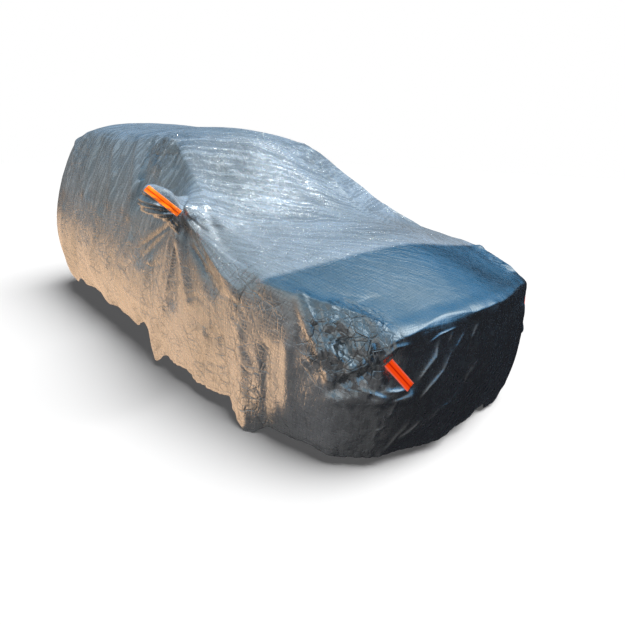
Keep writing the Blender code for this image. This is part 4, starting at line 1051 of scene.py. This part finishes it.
def drawn_from_pouches(tree, place, warp, pitch):
    """Noise in long streaks: out from each pouch's tip over the bonnet, and level over the windscreen."""
    streaks = []
    for side in (-1, 1):
        tip = Vector(TIP) * Vector((1.0, -side, 1.0)) - ORIGIN
        from_tip = add(tree, VECTOR, MINUS, n0=place, n1=tip).outputs[0]
        away = add(tree, VECTOR, {"operation": "LENGTH"}, n0=from_tip).outputs["Value"]
        apart = add(tree, PARTS, Vector=from_tip).outputs
        inward = add(tree, MATHS, TIMES, n0=apart["Y"], n1=-side).outputs[0]
        angle = add(tree, MATHS, {"operation": "ARCTAN2"}, n0=apart["X"], n1=inward).outputs[0]
        angle = add(tree, MATHS, MINUS, n0=angle, n1=FAN_TURN).outputs[0]
        angle = add(tree, MATHS, LARGER, n0=angle, n1=0.0).outputs[0]
        behind = add(tree, MATHS, TIMES, n0=inward, n1=-math.sin(FAN_TURN)).outputs[0]
        behind = add(tree, MATHS, TIMES_PLUS, n0=apart["X"], n1=math.cos(FAN_TURN), n2=behind).outputs[0]
        behind = add(tree, MATHS, SMALLER, n0=behind, n1=0.0).outputs[0]
        beside = add(tree, MATHS, PLUS, n0=angle, n1=behind).outputs[0]
        beside = add(tree, MATHS, TIMES, n0=beside, n1=pitch).outputs[0]
        along = add(tree, MATHS, TIMES, n0=away, n1=FAN_LONG * pitch).outputs[0]
        spread = add(tree, TOGETHER, X=beside, Y=along, Z=FAN_SEED * side).outputs[0]
        spread = add(tree, VECTOR, TIMES_PLUS, n0=warp, n1=(FAN_BENDS,) * 3, n2=spread).outputs[0]
        streaks.append(add(tree, NOISE, Vector=spread, Scale=1.0, Detail=1.0, Roughness=0.5).outputs[0])
    across = add(tree, PARTS, Vector=place).outputs["Y"]
    share = add(tree, SPAN, SMOOTHLY, Value=across, From_Min=FAN_MEET[0], From_Max=FAN_MEET[1]).outputs[0]
    return add(tree, MIXED, n0=share, n2=streaks[0], n3=streaks[1]).outputs[0]


def fan_relief(tree, place, one_side, warp, zone):
    """The fan's height and painted shade: darker between thin creases, bright on their ridges, over broad
    pleats.
    """
    away = add(tree, VECTOR, DISTANCE, n0=one_side, n1=Vector(TIP) - ORIGIN).outputs["Value"]
    fine, broad = (drawn_from_pouches(tree, place, warp, pitch) for pitch in FAN_PITCHES)
    middle = add(tree, MATHS, MINUS, n0=fine, n1=0.5).outputs[0]
    middle = add(tree, MATHS, UNSIGNED, n0=middle).outputs[0]
    ridge = add(tree, SPAN, SMOOTHLY, Value=middle, From_Max=FAN_THIN, To_Min=1.0, To_Max=0.0).outputs[0]
    # Painted shade and highlight: full colour on the ridges, darker between them, on the top only
    shade = add(tree, MATHS, TIMES_PLUS, n0=ridge, n1=FAN_SHADE, n2=-FAN_SHADE).outputs[0]
    shade = add(tree, MATHS, TIMES_PLUS, n0=shade, n1=zone, n2=1.0).outputs[0]
    depth = add(tree, SPAN, Value=away, From_Min=FAN_AWAY[0], From_Max=FAN_AWAY[1], To_Min=FAN_DEPTH[0],
                To_Max=FAN_DEPTH[1]).outputs[0]
    depth = add(tree, MATHS, TIMES, n0=depth, n1=zone).outputs[0]
    relief = add(tree, MATHS, TIMES_PLUS, n0=broad, n1=BROAD_BY, n2=ridge).outputs[0]
    return add(tree, MATHS, TIMES, n0=relief, n1=depth).outputs[0], shade


def crumpled_share(tree, one_side):
    """How crumpled the film is at each place, from the table of its crumpled patches."""
    share = 0.0
    for spot in CRUMPLED:
        away = add(tree, VECTOR, DISTANCE, n0=one_side, n1=Vector(spot.middle) - ORIGIN).outputs["Value"]
        near = add(tree, SPAN, SMOOTHLY, Value=away, From_Min=CRUMPLED_FULLY * spot.reach,
                   From_Max=spot.reach, To_Min=spot.facets, To_Max=0.0).outputs[0]
        share = add(tree, MATHS, LARGER, n0=near, n1=share).outputs[0]
    return share


def net_share(tree, place, high, wing, crumpled_by):
    """How much the fine nets show at each place: they come and go, and are strong in the crumpled patches."""
    broken = add(tree, NOISE, Vector=place, Scale=NET_BREAK_SCALE, Detail=1.0).outputs[0]
    broken = add(tree, SPAN, Value=broken, From_Min=NET_BREAKS[0], From_Max=NET_BREAKS[1],
                 To_Min=NET_LEAST).outputs[0]
    torn = add(tree, MATHS, TIMES, n0=broken, n1=crumpled_by).outputs[0]
    zone = add(tree, MATHS, TIMES_PLUS, n0=high, n1=-NET_OFF_TOP, n2=1.0).outputs[0]
    zone = add(tree, MATHS, TIMES, n0=zone, n1=wing).outputs[0]
    broken = add(tree, MATHS, TIMES, n0=broken, n1=zone).outputs[0]
    return add(tree, MATHS, LARGER, n0=broken, n1=torn).outputs[0]


def square_rims(tree, cloth):
    """How near to the rim of its embossed square each place is: 0 in the middle, 0.5 on the rim."""
    squares = add(tree, VECTOR, SCALED, n0=cloth, Scale=1 / SQUARE).outputs[0]
    squares = add(tree, VECTOR, {"operation": "FRACTION"}, n0=squares).outputs[0]
    squares = add(tree, VECTOR, MINUS, n0=squares, n1=HALF).outputs[0]
    squares = add(tree, VECTOR, UNSIGNED, n0=squares).outputs[0]
    sides = add(tree, PARTS, Vector=squares).outputs
    return add(tree, MATHS, LARGER, n0=sides["X"], n1=sides["Y"]).outputs[0]


def silvered_film():
    """Metallised film on thin wadding. Its mirror is broken by crinkles that run out from the pouch's tip, by
    drawn ones along the cloth, by a net of fine creases and by an embossed grid of 17 mm squares. Its dust
    tint carries painted shade between the fan's creases and in the grooves of the nets and the grid."""
    material, tree, shader = new_material("silvered film", Metallic=0.80, Base_Color=linear("#D6DADD"))
    cloth = add(tree, "ShaderNodeUVMap", CLOTH_UV).outputs["UV"]
    place = add(tree, PLACE).outputs["Object"]
    parts = add(tree, PARTS, Vector=place).outputs
    high = add(tree, SPAN, Value=parts["Z"], From_Min=TOP[0], From_Max=TOP[1]).outputs[0]
    ahead = add(tree, SPAN, Value=parts["X"], From_Min=NOSE[0], From_Max=NOSE[1]).outputs[0]
    calm = add(tree, MATHS, TIMES_PLUS, n0=ahead, n1=-NOSE_CALM, n2=1.0).outputs[0]
    wing = add(tree, SPAN, Value=parts["X"], From_Min=CORNER[0], From_Max=CORNER[1], To_Min=1.0,
               To_Max=PAST_CORNER).outputs[0]
    warp = add(tree, NOISE, Vector=place, Scale=WARP_SCALE, Detail=WARP_DETAIL).outputs["Color"]
    warp = add(tree, VECTOR, MINUS, n0=warp, n1=HALF).outputs[0]
    bent = add(tree, VECTOR, TIMES_PLUS, n0=warp, n1=(WARP_BENDS,) * 3, n2=place).outputs[0]
    right = add(tree, MATHS, UNSIGNED, n0=parts["Y"]).outputs[0]
    right = add(tree, MATHS, TIMES, n0=right, n1=-1.0).outputs[0]
    one_side = add(tree, TOGETHER, X=parts["X"], Y=right, Z=parts["Z"]).outputs[0]
    fan_zone = add(tree, MATHS, TIMES, n0=high, n1=calm).outputs[0]
    height, shade = fan_relief(tree, place, one_side, warp, fan_zone)

    drawn = add(tree, VECTOR, TIMES, n0=cloth, n1=DRAWN_PITCH).outputs[0]
    drawn = add(tree, VECTOR, TIMES_PLUS, n0=warp, n1=(DRAWN_BENDS,) * 3, n2=drawn).outputs[0]
    lines = add(tree, NOISE, {"noise_type": "RIDGED_MULTIFRACTAL"}, Vector=drawn, Scale=1.0,
                Detail=1.0).outputs[0]
    lines = add(tree, MATHS, TIMES, n0=lines, n1=wing).outputs[0]
    height = add(tree, MATHS, TIMES_PLUS, n0=lines, n1=DRAWN_DEPTH, n2=height).outputs[0]

    crumpled_by = crumpled_share(tree, one_side)
    shown = net_share(tree, place, high, wing, crumpled_by)
    for net in NETS:
        lattice = add(tree, CELLS, {"feature": "DISTANCE_TO_EDGE"}, Vector=bent, Scale=net.scale)
        groove = add(tree, SPAN, SMOOTHLY, Value=lattice.outputs["Distance"], From_Max=net.width,
                     To_Min=-net.depth, To_Max=0.0).outputs[0]
        height = add(tree, MATHS, TIMES_PLUS, n0=groove, n1=shown, n2=height).outputs[0]
        # Painted shade: the film's colour darkens in the net's grooves
        dark = add(tree, MATHS, TIMES, n0=groove, n1=shown).outputs[0]
        shade = add(tree, MATHS, TIMES_PLUS, n0=dark, n1=NET_SHADE / net.depth, n2=shade).outputs[0]

    slivers = add(tree, "ShaderNodeMapping", Vector=place, Rotation=SLIVER_TURN, Scale=SLIVER_SCALE)
    slivers = slivers.outputs[0]
    for scale, slope in SLIVERS:
        cells = add(tree, CELLS, Vector=slivers, Scale=scale).outputs
        offset = add(tree, VECTOR, MINUS, n0=slivers, n1=cells["Position"]).outputs[0]
        tilt = add(tree, VECTOR, MINUS, n0=cells["Color"], n1=HALF).outputs[0]
        tilted = add(tree, VECTOR, DOT, n0=offset, n1=tilt).outputs["Value"]
        tilted = add(tree, MATHS, TIMES, n0=tilted, n1=crumpled_by).outputs[0]
        height = add(tree, MATHS, TIMES_PLUS, n0=tilted, n1=slope, n2=height).outputs[0]

    crumple = add(tree, NOISE, Vector=bent, Scale=CRUMPLE_SCALE, Detail=1.0, Roughness=0.5).outputs[0]
    level = add(tree, MATHS, TIMES_PLUS, n0=high, n1=-CRUMPLE_OFF_TOP, n2=1.0).outputs[0]
    level = add(tree, MATHS, TIMES, n0=level, n1=calm).outputs[0]
    crumpled = add(tree, MATHS, TIMES, n0=crumple, n1=level).outputs[0]
    height = add(tree, MATHS, TIMES_PLUS, n0=crumpled, n1=CRUMPLE_DEPTH, n2=height).outputs[0]
    rim = square_rims(tree, cloth)
    emboss = add(tree, SPAN, SMOOTHLY, Value=rim, From_Min=SQUARE_RIM[0], From_Max=SQUARE_RIM[1], To_Min=0.0,
                 To_Max=-SQUARE_DEPTH).outputs[0]
    height = add(tree, MATHS, TIMES_PLUS, n0=emboss, n1=calm, n2=height).outputs[0]
    bump = add(tree, "ShaderNodeBump", Height=height, Strength=1.0, Distance=1.0)
    tree.links.new(bump.outputs["Normal"], shader.inputs["Normal"])

    rough = add(tree, SPAN, Value=crumple, From_Min=0.3, From_Max=0.7, To_Min=FILM_ROUGHNESS[0],
                To_Max=FILM_ROUGHNESS[1]).outputs[0]
    tree.links.new(rough, shader.inputs["Roughness"])
    dust = add(tree, NOISE, Vector=place, Scale=FILM_DUST_SCALE, Detail=5.0, Roughness=0.6).outputs[0]
    dust = add(tree, SPAN, Value=dust, From_Min=FILM_DUST[0], From_Max=FILM_DUST[1]).outputs[0]
    tint = add(tree, MIXED, COLOURS, n0=dust, n6=linear("#DDE1E4"), n7=linear("#C9CCCB")).outputs[2]
    # Painted shade along the grooves at the rims of the embossed squares
    line = add(tree, SPAN, Value=rim, From_Min=SQUARE_RIM[0], From_Max=SQUARE_RIM[1], To_Min=1.0,
               To_Max=SQUARE_SHADE).outputs[0]
    # Painted shade: the dust tint is darkened between the fan's creases, in the nets' grooves and along the
    # grid's grooves
    shade = add(tree, MATHS, TIMES, n0=shade, n1=line).outputs[0]
    shaded = add(tree, VECTOR, SCALED, n0=tint, Scale=shade).outputs[0]
    tree.links.new(shaded, shader.inputs["Base Color"])
    return material


TAPE_HALF = 0.020                # from the tape's middle to its paler edge
# The tape's colours from its middle (0) to its edge (1): a dark middle, painted shade of a fold; the dye;
# paler edges
TAPE_DYE_AND_FOLD_SHADE = ((0.0, "#B03004"), (0.10, "#B83404"), (0.18, "#FF7212"), (0.74, "#FF7212"), (0.92, "#FFA878"))
# Painted shade: the corner strips near the nose, which lie in the shade, are tinted redder over this stretch
# of X
TAPE_SHADE_TINT, SHADE_TINT_FROM = (1.0, 0.40, 0.50, 1.0), (1.70, 2.20)
TWILL_PITCH, TWILL_DEPTH = 0.0016, 0.00012


def orange_tape():
    """Woven safety tape: a dyed twill with paler edges and painted shade of a fold along its middle. It glows
    in its own colours, painted light, and the corner strips, which lie in the shade, are painted redder."""
    # Painted light: the tape glows with its own colours, though it is no lamp
    material, tree, shader = new_material("orange reflective tape", Roughness=0.42, Emission_Strength=0.80)
    cloth = add(tree, "ShaderNodeUVMap", CLOTH_UV).outputs["UV"]
    parts = add(tree, PARTS, Vector=cloth).outputs
    across = add(tree, MATHS, UNSIGNED, n0=parts["Y"]).outputs[0]
    across = add(tree, SPAN, Value=across, From_Max=TAPE_HALF).outputs[0]
    ramp = add(tree, "ShaderNodeValToRGB", Fac=across)
    for number, (at, colour) in enumerate(TAPE_DYE_AND_FOLD_SHADE):
        stop = ramp.color_ramp.elements[number] if number < 2 else ramp.color_ramp.elements.new(at)
        stop.position, stop.color = at, linear(colour)
    place = add(tree, PARTS, Vector=add(tree, PLACE).outputs["Object"]).outputs
    # Painted shade: 0 on the strips in the sun, 1 on the corner strips in the shade, which are tinted redder
    new = add(tree, SPAN, Value=place["X"], From_Min=SHADE_TINT_FROM[0], From_Max=SHADE_TINT_FROM[1]).outputs[0]
    redder = add(tree, MIXED, {**COLOURS, "blend_type": "MULTIPLY"}, n0=new, n6=ramp.outputs["Color"],
                 n7=TAPE_SHADE_TINT).outputs[2]
    tree.links.new(redder, shader.inputs["Base Color"])
    tree.links.new(redder, shader.inputs["Emission Color"])
    slant = add(tree, MATHS, PLUS, n0=parts["X"], n1=parts["Y"]).outputs[0]
    slant = add(tree, MATHS, TIMES, n0=slant, n1=2 * math.pi / TWILL_PITCH).outputs[0]
    twill = add(tree, MATHS, {"operation": "SINE"}, n0=slant).outputs[0]
    bump = add(tree, "ShaderNodeBump", Height=twill, Strength=1.0, Distance=TWILL_DEPTH)
    tree.links.new(bump.outputs["Normal"], shader.inputs["Normal"])
    return material


THREAD_TWISTS, THREAD_DEPTH = 1400.0, 0.0002


def thread(name, colour):
    """Spun sewing thread: soft, with a fine twist."""
    material, tree, shader = new_material(name, Base_Color=linear(colour), Roughness=0.62)
    place = add(tree, PLACE).outputs["Object"]
    twist = add(tree, NOISE, Vector=place, Scale=THREAD_TWISTS, Detail=1.0).outputs[0]
    bump = add(tree, "ShaderNodeBump", Height=twist, Strength=0.5, Distance=THREAD_DEPTH)
    tree.links.new(bump.outputs["Normal"], shader.inputs["Normal"])
    return material


# ---------------------------------------------------------------- pieces
def settle(name, mesh, *materials):
    """A finished piece in the model's own frame, riding with the cover."""
    data = bpy.data.meshes.new(name)
    mesh.to_mesh(data)
    data.transform(Matrix.Translation(-ORIGIN))
    for material in materials:
        data.materials.append(material)
    data.shade_smooth()
    thing = bpy.data.objects.new(name, data)
    bpy.context.collection.objects.link(thing)
    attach(thing, "root")
    return thing


def stitching_tree():
    """Geometry Nodes that lay stitches along a line: inputs for their pitch, length, thickness and thread."""
    tree = bpy.data.node_groups.new("stitches", "GeometryNodeTree")
    sockets = {}
    for name, kind in (("Line", "Geometry"), ("Pitch", "Float"), ("Length", "Float"), ("Thickness", "Float"),
                       ("Thread", "Material")):
        socket = tree.interface.new_socket(name, in_out="INPUT", socket_type="NodeSocket" + kind)
        sockets[name] = socket.identifier
    tree.interface.new_socket("Stitches", in_out="OUTPUT", socket_type="NodeSocketGeometry")
    given = add(tree, "NodeGroupInput").outputs
    curve = add(tree, "GeometryNodeMeshToCurve", Mesh=given["Line"]).outputs[0]
    spaced = add(tree, "GeometryNodeResampleCurve", {"mode": "LENGTH"}, Curve=curve,
                 Length=given["Pitch"]).outputs[0]
    tangent = add(tree, "GeometryNodeInputTangent").outputs[0]
    turn = add(tree, "FunctionNodeAlignRotationToVector", {"axis": "X"}, Vector=tangent).outputs[0]
    ball = add(tree, "GeometryNodeMeshIcoSphere", Radius=0.5, Subdivisions=1).outputs["Mesh"]
    size = add(tree, TOGETHER, X=given["Length"], Y=given["Thickness"], Z=given["Thickness"]).outputs[0]
    laid = add(tree, "GeometryNodeInstanceOnPoints", Points=spaced, Instance=ball, Rotation=turn,
               Scale=size).outputs[0]
    real = add(tree, "GeometryNodeRealizeInstances", Geometry=laid).outputs[0]
    dyed = add(tree, "GeometryNodeSetMaterial", Geometry=real, Material=given["Thread"]).outputs[0]
    add(tree, "NodeGroupOutput", n0=dyed)
    return tree, sockets


Stitch = namedtuple("Stitch", "pitch length thickness")
HEM_STITCH, TAPE_STITCH = Stitch(0.0050, 0.0038, 0.0009), Stitch(0.0042, 0.0030, 0.0009)


def stitches(name, path, material, stitch):
    """A row of stitches along a closed path over the cloth."""
    tree, sockets = stitching_tree()
    data = bpy.data.meshes.new(name)
    edges = [(number, (number + 1) % len(path)) for number in range(len(path))]
    data.from_pydata([Vector(point) for point in path], edges, [])
    line = bpy.data.objects.new(name, data)
    bpy.context.collection.objects.link(line)
    modifier = line.modifiers.new("stitches", "NODES")
    modifier.node_group = tree
    for key, value in zip(("Pitch", "Length", "Thickness", "Thread"), (*stitch, material)):
        modifier[sockets[key]] = value
    depsgraph = bpy.context.evaluated_depsgraph_get()
    made = bmesh.new()
    made.from_mesh(bpy.data.meshes.new_from_object(line.evaluated_get(depsgraph), depsgraph=depsgraph))
    bpy.data.objects.remove(line)
    return settle(name, made, material)


def rim_paths(mesh, keep):
    """The closed loops of the mesh's open edges whose vertices all pass keep, as lists of vertices."""
    edges = {edge for edge in mesh.edges if edge.is_boundary and all(keep(vert) for vert in edge.verts)}
    loops = []
    while edges:
        edge = edges.pop()
        loop = list(edge.verts)
        while True:
            beyond = next((other for other in loop[-1].link_edges if other in edges), None)
            if beyond is None:
                break
            edges.remove(beyond)
            loop.append(beyond.other_vert(loop[-1]))
        loops.append(loop[:-1] if loop[0] is loop[-1] else loop)
    return loops


def make_pieces():
    """The cover, its pouches and tapes, and their stitches. Returns the cover, and what is on it."""
    film, tape_cloth = silvered_film(), orange_tape()
    pale_thread, orange_thread = thread("pale thread", "#B9BDC0"), thread("orange thread", "#D9480A")
    creases = RIGHT_CREASES + SIDE_CREASES + tuple(mirrored(crease) for crease in SIDE_CREASES)
    whole = finer(base_cloth())
    raise_tents(whole)
    lay_folds(whole)
    sharpen_edges(whole)
    refine_near(whole, RIGHT_CREASES + EDGES_FINE, FINE_WITHIN)
    refine_near(whole, RIGHT_CREASES[:NOSE_CREASES], FINER_WITHIN)
    lay_creases(whole, creases)
    gather_hem(whole)
    added = []
    for hand in HANDS:
        pouch = make_pouch(whole, hand)
        piece = settle("pouch_" + hand.name, pouch, film)
        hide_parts("mirror_pocket_" + hand.name)
        added.append(piece)
        for tape, under in zip(TAPES, (pouch, whole)):
            mesh, path = make_tape(under, tape, hand.side)
            strip = settle(f"{tape.name}_tape_{hand.name}", mesh, tape_cloth)
            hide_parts(f"{tape.name}_{hand.name}")
            name = f"{tape.name}_stitches_{hand.name}"
            added += [strip, stitches(name, path, orange_thread, TAPE_STITCH)]
    bmesh.ops.delete(whole, geom=[face for face in whole.faces if face.material_index in HOLE.values()],
                     context="FACES")
    surface = BVHTree.FromBMesh(whole)
    down = whole.verts.layers.float["down"]
    (hem,) = rim_paths(whole, lambda vert: vert[down] > AT_HEM)
    path = []
    for vert in hem:
        place, normal, _, _ = surface.find_nearest(vert.co + Vector((0.0, 0.0, HEM_STITCHES_UP)))
        path.append(place + HEM_STITCHES_OUT * normal)
    added.append(stitches("hem_stitches", path, pale_thread, HEM_STITCH))
    turn_in_hem(whole)
    for face in whole.faces:
        face.material_index = 0
    cover = settle("cover_sheet", whole, film)
    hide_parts("cover_body")
    return cover, added


# ---------------------------------------------------------------- view and light
CAMERA_AT = (2.832, -1.928, 1.342)
CAMERA_RIGHT, CAMERA_UP = Vector((0.68646, 0.72674, 0.02484)), Vector((-0.27088, 0.22386, 0.93622))
SENSOR, LENS = 36.0, 25.28


def make_camera():
    """At the photograph's place: head height, off the right front corner, a wide lens."""
    camera = bpy.data.cameras.new("camera")
    camera.sensor_width, camera.lens = SENSOR, LENS
    thing = bpy.data.objects.new("camera", camera)
    turn = Matrix((CAMERA_RIGHT, CAMERA_UP, CAMERA_RIGHT.cross(CAMERA_UP))).transposed().to_4x4()
    thing.matrix_world = Matrix.Translation(Vector(CAMERA_AT) - ORIGIN) @ turn
    bpy.context.collection.objects.link(thing)
    bpy.context.scene.camera = thing


def flat_stage(name, corners, material):
    """A flat stage piece with these corners, in the table's metres."""
    data = bpy.data.meshes.new(name)
    data.from_pydata([Vector(corner) - ORIGIN for corner in corners], [], [tuple(range(len(corners)))])
    data.materials.append(material)
    thing = bpy.data.objects.new(name, data)
    bpy.context.collection.objects.link(thing)
    return thing


def glow(name, colour):
    """A material that only gives light."""
    material = bpy.data.materials.new(name)
    material.use_nodes = True
    tree = material.node_tree
    tree.nodes.clear()
    shine = add(tree, "ShaderNodeEmission", Color=colour, Strength=1.0)
    add(tree, "ShaderNodeOutputMaterial", Surface=shine.outputs[0])
    return material


FLOOR_REACH = 30


def make_floor():
    """Pale, dull paper."""
    paper, _, _ = new_material("pale studio paper", Base_Color=linear("#F4F4F4"), Roughness=0.9,
                               Specular_IOR_Level=0.0)
    corners = [(x * FLOOR_REACH, y * FLOOR_REACH, 0) for x, y in ((-1, -1), (1, -1), (1, 1), (-1, 1))]
    floor = flat_stage("floor", corners, paper)
    floor.visible_glossy = floor.visible_diffuse = False
    return floor


# The sun is a far lamp whose round patch of light ends in a crisp line over the bonnet
SUN_AWAY, SUN_REACH = 40.0, 6.0
SUN_EDGE = (1.50, 0.0, 0.86)
TOWARD_SUN = (0.35, 0.45, 0.82)
SUN_SOFT, SUN_GLINTS = 200000.0, 10000.0
SUN_BLUR, SUN_SIZE = 0.004, 0.02
HAZE, HAZE_FROM = (0.75, 0.78, 0.76, 1.0), 0.80   # bright sky round the sun, and how near to it that starts
# What the film mirrors at each height (-1 straight down, 0 level, 1 straight up), as linear light
Level = namedtuple("Level", "height colour")
LEFT_SKY = (
    Level(-1.0, (0.010, 0.011, 0.015)), Level(0.0, (0.010, 0.012, 0.017)), Level(0.20, (0.018, 0.023, 0.032)),
    Level(0.28, (0.060, 0.26, 0.50)), Level(0.48, (0.085, 0.31, 0.60)), Level(0.66, (0.20, 0.42, 0.64)),
    Level(1.0, (0.20, 0.34, 0.48)),
)
RIGHT_SKY = (
    Level(-1.0, (0.15, 0.148, 0.15)), Level(-0.06, (0.185, 0.18, 0.185)), Level(0.04, (0.42, 0.42, 0.43)),
    Level(0.20, (0.53, 0.56, 0.57)), Level(0.50, (0.38, 0.47, 0.53)), Level(1.0, (0.20, 0.36, 0.50)),
)
RIGHT_AHEAD, RIGHT_AHEAD_SHARE = (-0.35, 0.30), 0.58   # the right sky darkens towards the nose
SKIES_MEET = (-0.50, 0.35)
STUDIO_GREY = (0.070, 0.070, 0.072, 1.0)
SUNLIT_SAND = (1.24, 0.82, 0.53, 1.0)
SAND_HIGH = 0.004
SAND = ((1.28, -1.22), (0.46, -1.96), (-2.1, -3.3), (-12, -8), (-12, -0.5), (-2.2, -0.4), (1.2, -0.6))
FLOOR_LIGHT, FLOOR_LIGHT_WIDE, FLOOR_LIGHT_FROM = 3.75, math.radians(46), (0.38, 0.24, 1.0)


def make_sky():
    """What the film mirrors: blue on the left, haze on the right, dark ground. White to the camera."""
    world = bpy.data.worlds.new("surroundings")
    bpy.context.scene.world = world
    world.use_nodes = True
    world.cycles.sampling_method = "NONE"
    tree = world.node_tree
    tree.nodes.clear()
    direction = add(tree, PLACE).outputs["Generated"]
    parts = add(tree, PARTS, Vector=direction)
    height = add(tree, SPAN, Value=parts.outputs["Z"], From_Min=-1.0, From_Max=1.0)
    sides = []
    for levels in (LEFT_SKY, RIGHT_SKY):
        ramp = add(tree, "ShaderNodeValToRGB", Fac=height.outputs[0])
        for number, level in enumerate(levels):
            at = (level.height + 1) / 2
            stop = ramp.color_ramp.elements[number] if number < 2 else ramp.color_ramp.elements.new(at)
            stop.position, stop.color = at, (*level.colour, 1.0)
        sides.append(ramp.outputs["Color"])
    left, right = sides
    ahead = add(tree, SPAN, Value=parts.outputs["X"], From_Min=RIGHT_AHEAD[0], From_Max=RIGHT_AHEAD[1],
                To_Min=1.0, To_Max=RIGHT_AHEAD_SHARE).outputs[0]
    right = add(tree, VECTOR, SCALED, n0=right, Scale=ahead).outputs[0]
    toward_left = add(tree, SPAN, SMOOTHLY, Value=parts.outputs["Y"], From_Min=SKIES_MEET[0],
                      From_Max=SKIES_MEET[1])
    both = add(tree, MIXED, COLOURS, n0=toward_left.outputs[0], n6=right, n7=left)
    toward = add(tree, VECTOR, DOT, n0=direction, n1=Vector(TOWARD_SUN).normalized()).outputs["Value"]
    haze = add(tree, SPAN, SMOOTHLY, Value=toward, From_Min=HAZE_FROM)
    hazy = add(tree, MIXED, {**COLOURS, "blend_type": "ADD"}, n0=haze.outputs[0], n6=both.outputs[2], n7=HAZE)
    mirrored_sky = add(tree, "ShaderNodeBackground", Color=hazy.outputs[2])
    white = add(tree, "ShaderNodeBackground", Color=(1, 1, 1, 1))
    grey = add(tree, "ShaderNodeBackground", Color=STUDIO_GREY)
    path = add(tree, "ShaderNodeLightPath").outputs
    soft = add(tree, "ShaderNodeMixShader", Fac=path["Is Glossy Ray"], n1=grey.outputs[0],
               n2=mirrored_sky.outputs[0])
    mix = add(tree, "ShaderNodeMixShader", Fac=path["Is Camera Ray"], n1=soft.outputs[0], n2=white.outputs[0])
    add(tree, "ShaderNodeOutputWorld", Surface=mix.outputs[0])


def lamp_on(name, kind, pieces, **settings):
    """A lamp that lights only these pieces."""
    data = bpy.data.lights.new(name, kind)
    for key, value in settings.items():
        setattr(data, key, value)
    lamp = bpy.data.objects.new(name, data)
    bpy.context.collection.objects.link(lamp)
    lit = bpy.data.collections.new("lit by the " + name)
    for thing in pieces:
        lit.objects.link(thing)
    lamp.light_linking.receiver_collection = lit
    return lamp


def make_lights(floor, pieces):
    """The sun on the film ends in a crisp line over the bonnet; a soft lamp lights the floor alone."""
    sand = flat_stage("sand", [(x, y, SAND_HIGH) for x, y in SAND], glow("sunlit sand", SUNLIT_SAND))
    sand.visible_camera = sand.visible_shadow = sand.visible_diffuse = False
    toward_sun = Vector(TOWARD_SUN).normalized()
    across = Vector((1.0, 0.0, 0.0))
    across = (across - across.dot(toward_sun) * toward_sun).normalized()
    for name, energy, glossy in (("sun", SUN_SOFT, False), ("sun glints", SUN_GLINTS, True)):
        sun = lamp_on(name, "SPOT", pieces, energy=energy, spot_blend=SUN_BLUR, shadow_soft_size=SUN_SIZE,
                      spot_size=2 * math.atan(SUN_REACH / SUN_AWAY))
        sun.visible_glossy, sun.visible_diffuse = glossy, not glossy
        sun.location = Vector(SUN_EDGE) - across * SUN_REACH + toward_sun * SUN_AWAY - ORIGIN
        sun.rotation_euler = toward_sun.to_track_quat("Z", "Y").to_euler()
    for thing in pieces:
        thing.visible_diffuse = False
    soft = lamp_on("floor light", "SUN", [floor], energy=FLOOR_LIGHT, angle=FLOOR_LIGHT_WIDE)
    soft.rotation_euler = Vector(FLOOR_LIGHT_FROM).to_track_quat("Z", "Y").to_euler()


make_camera()
cover, added = make_pieces()
floor = make_floor()
make_sky()
make_lights(floor, [cover, *added])
bpy.context.scene.view_settings.view_transform = "Standard"
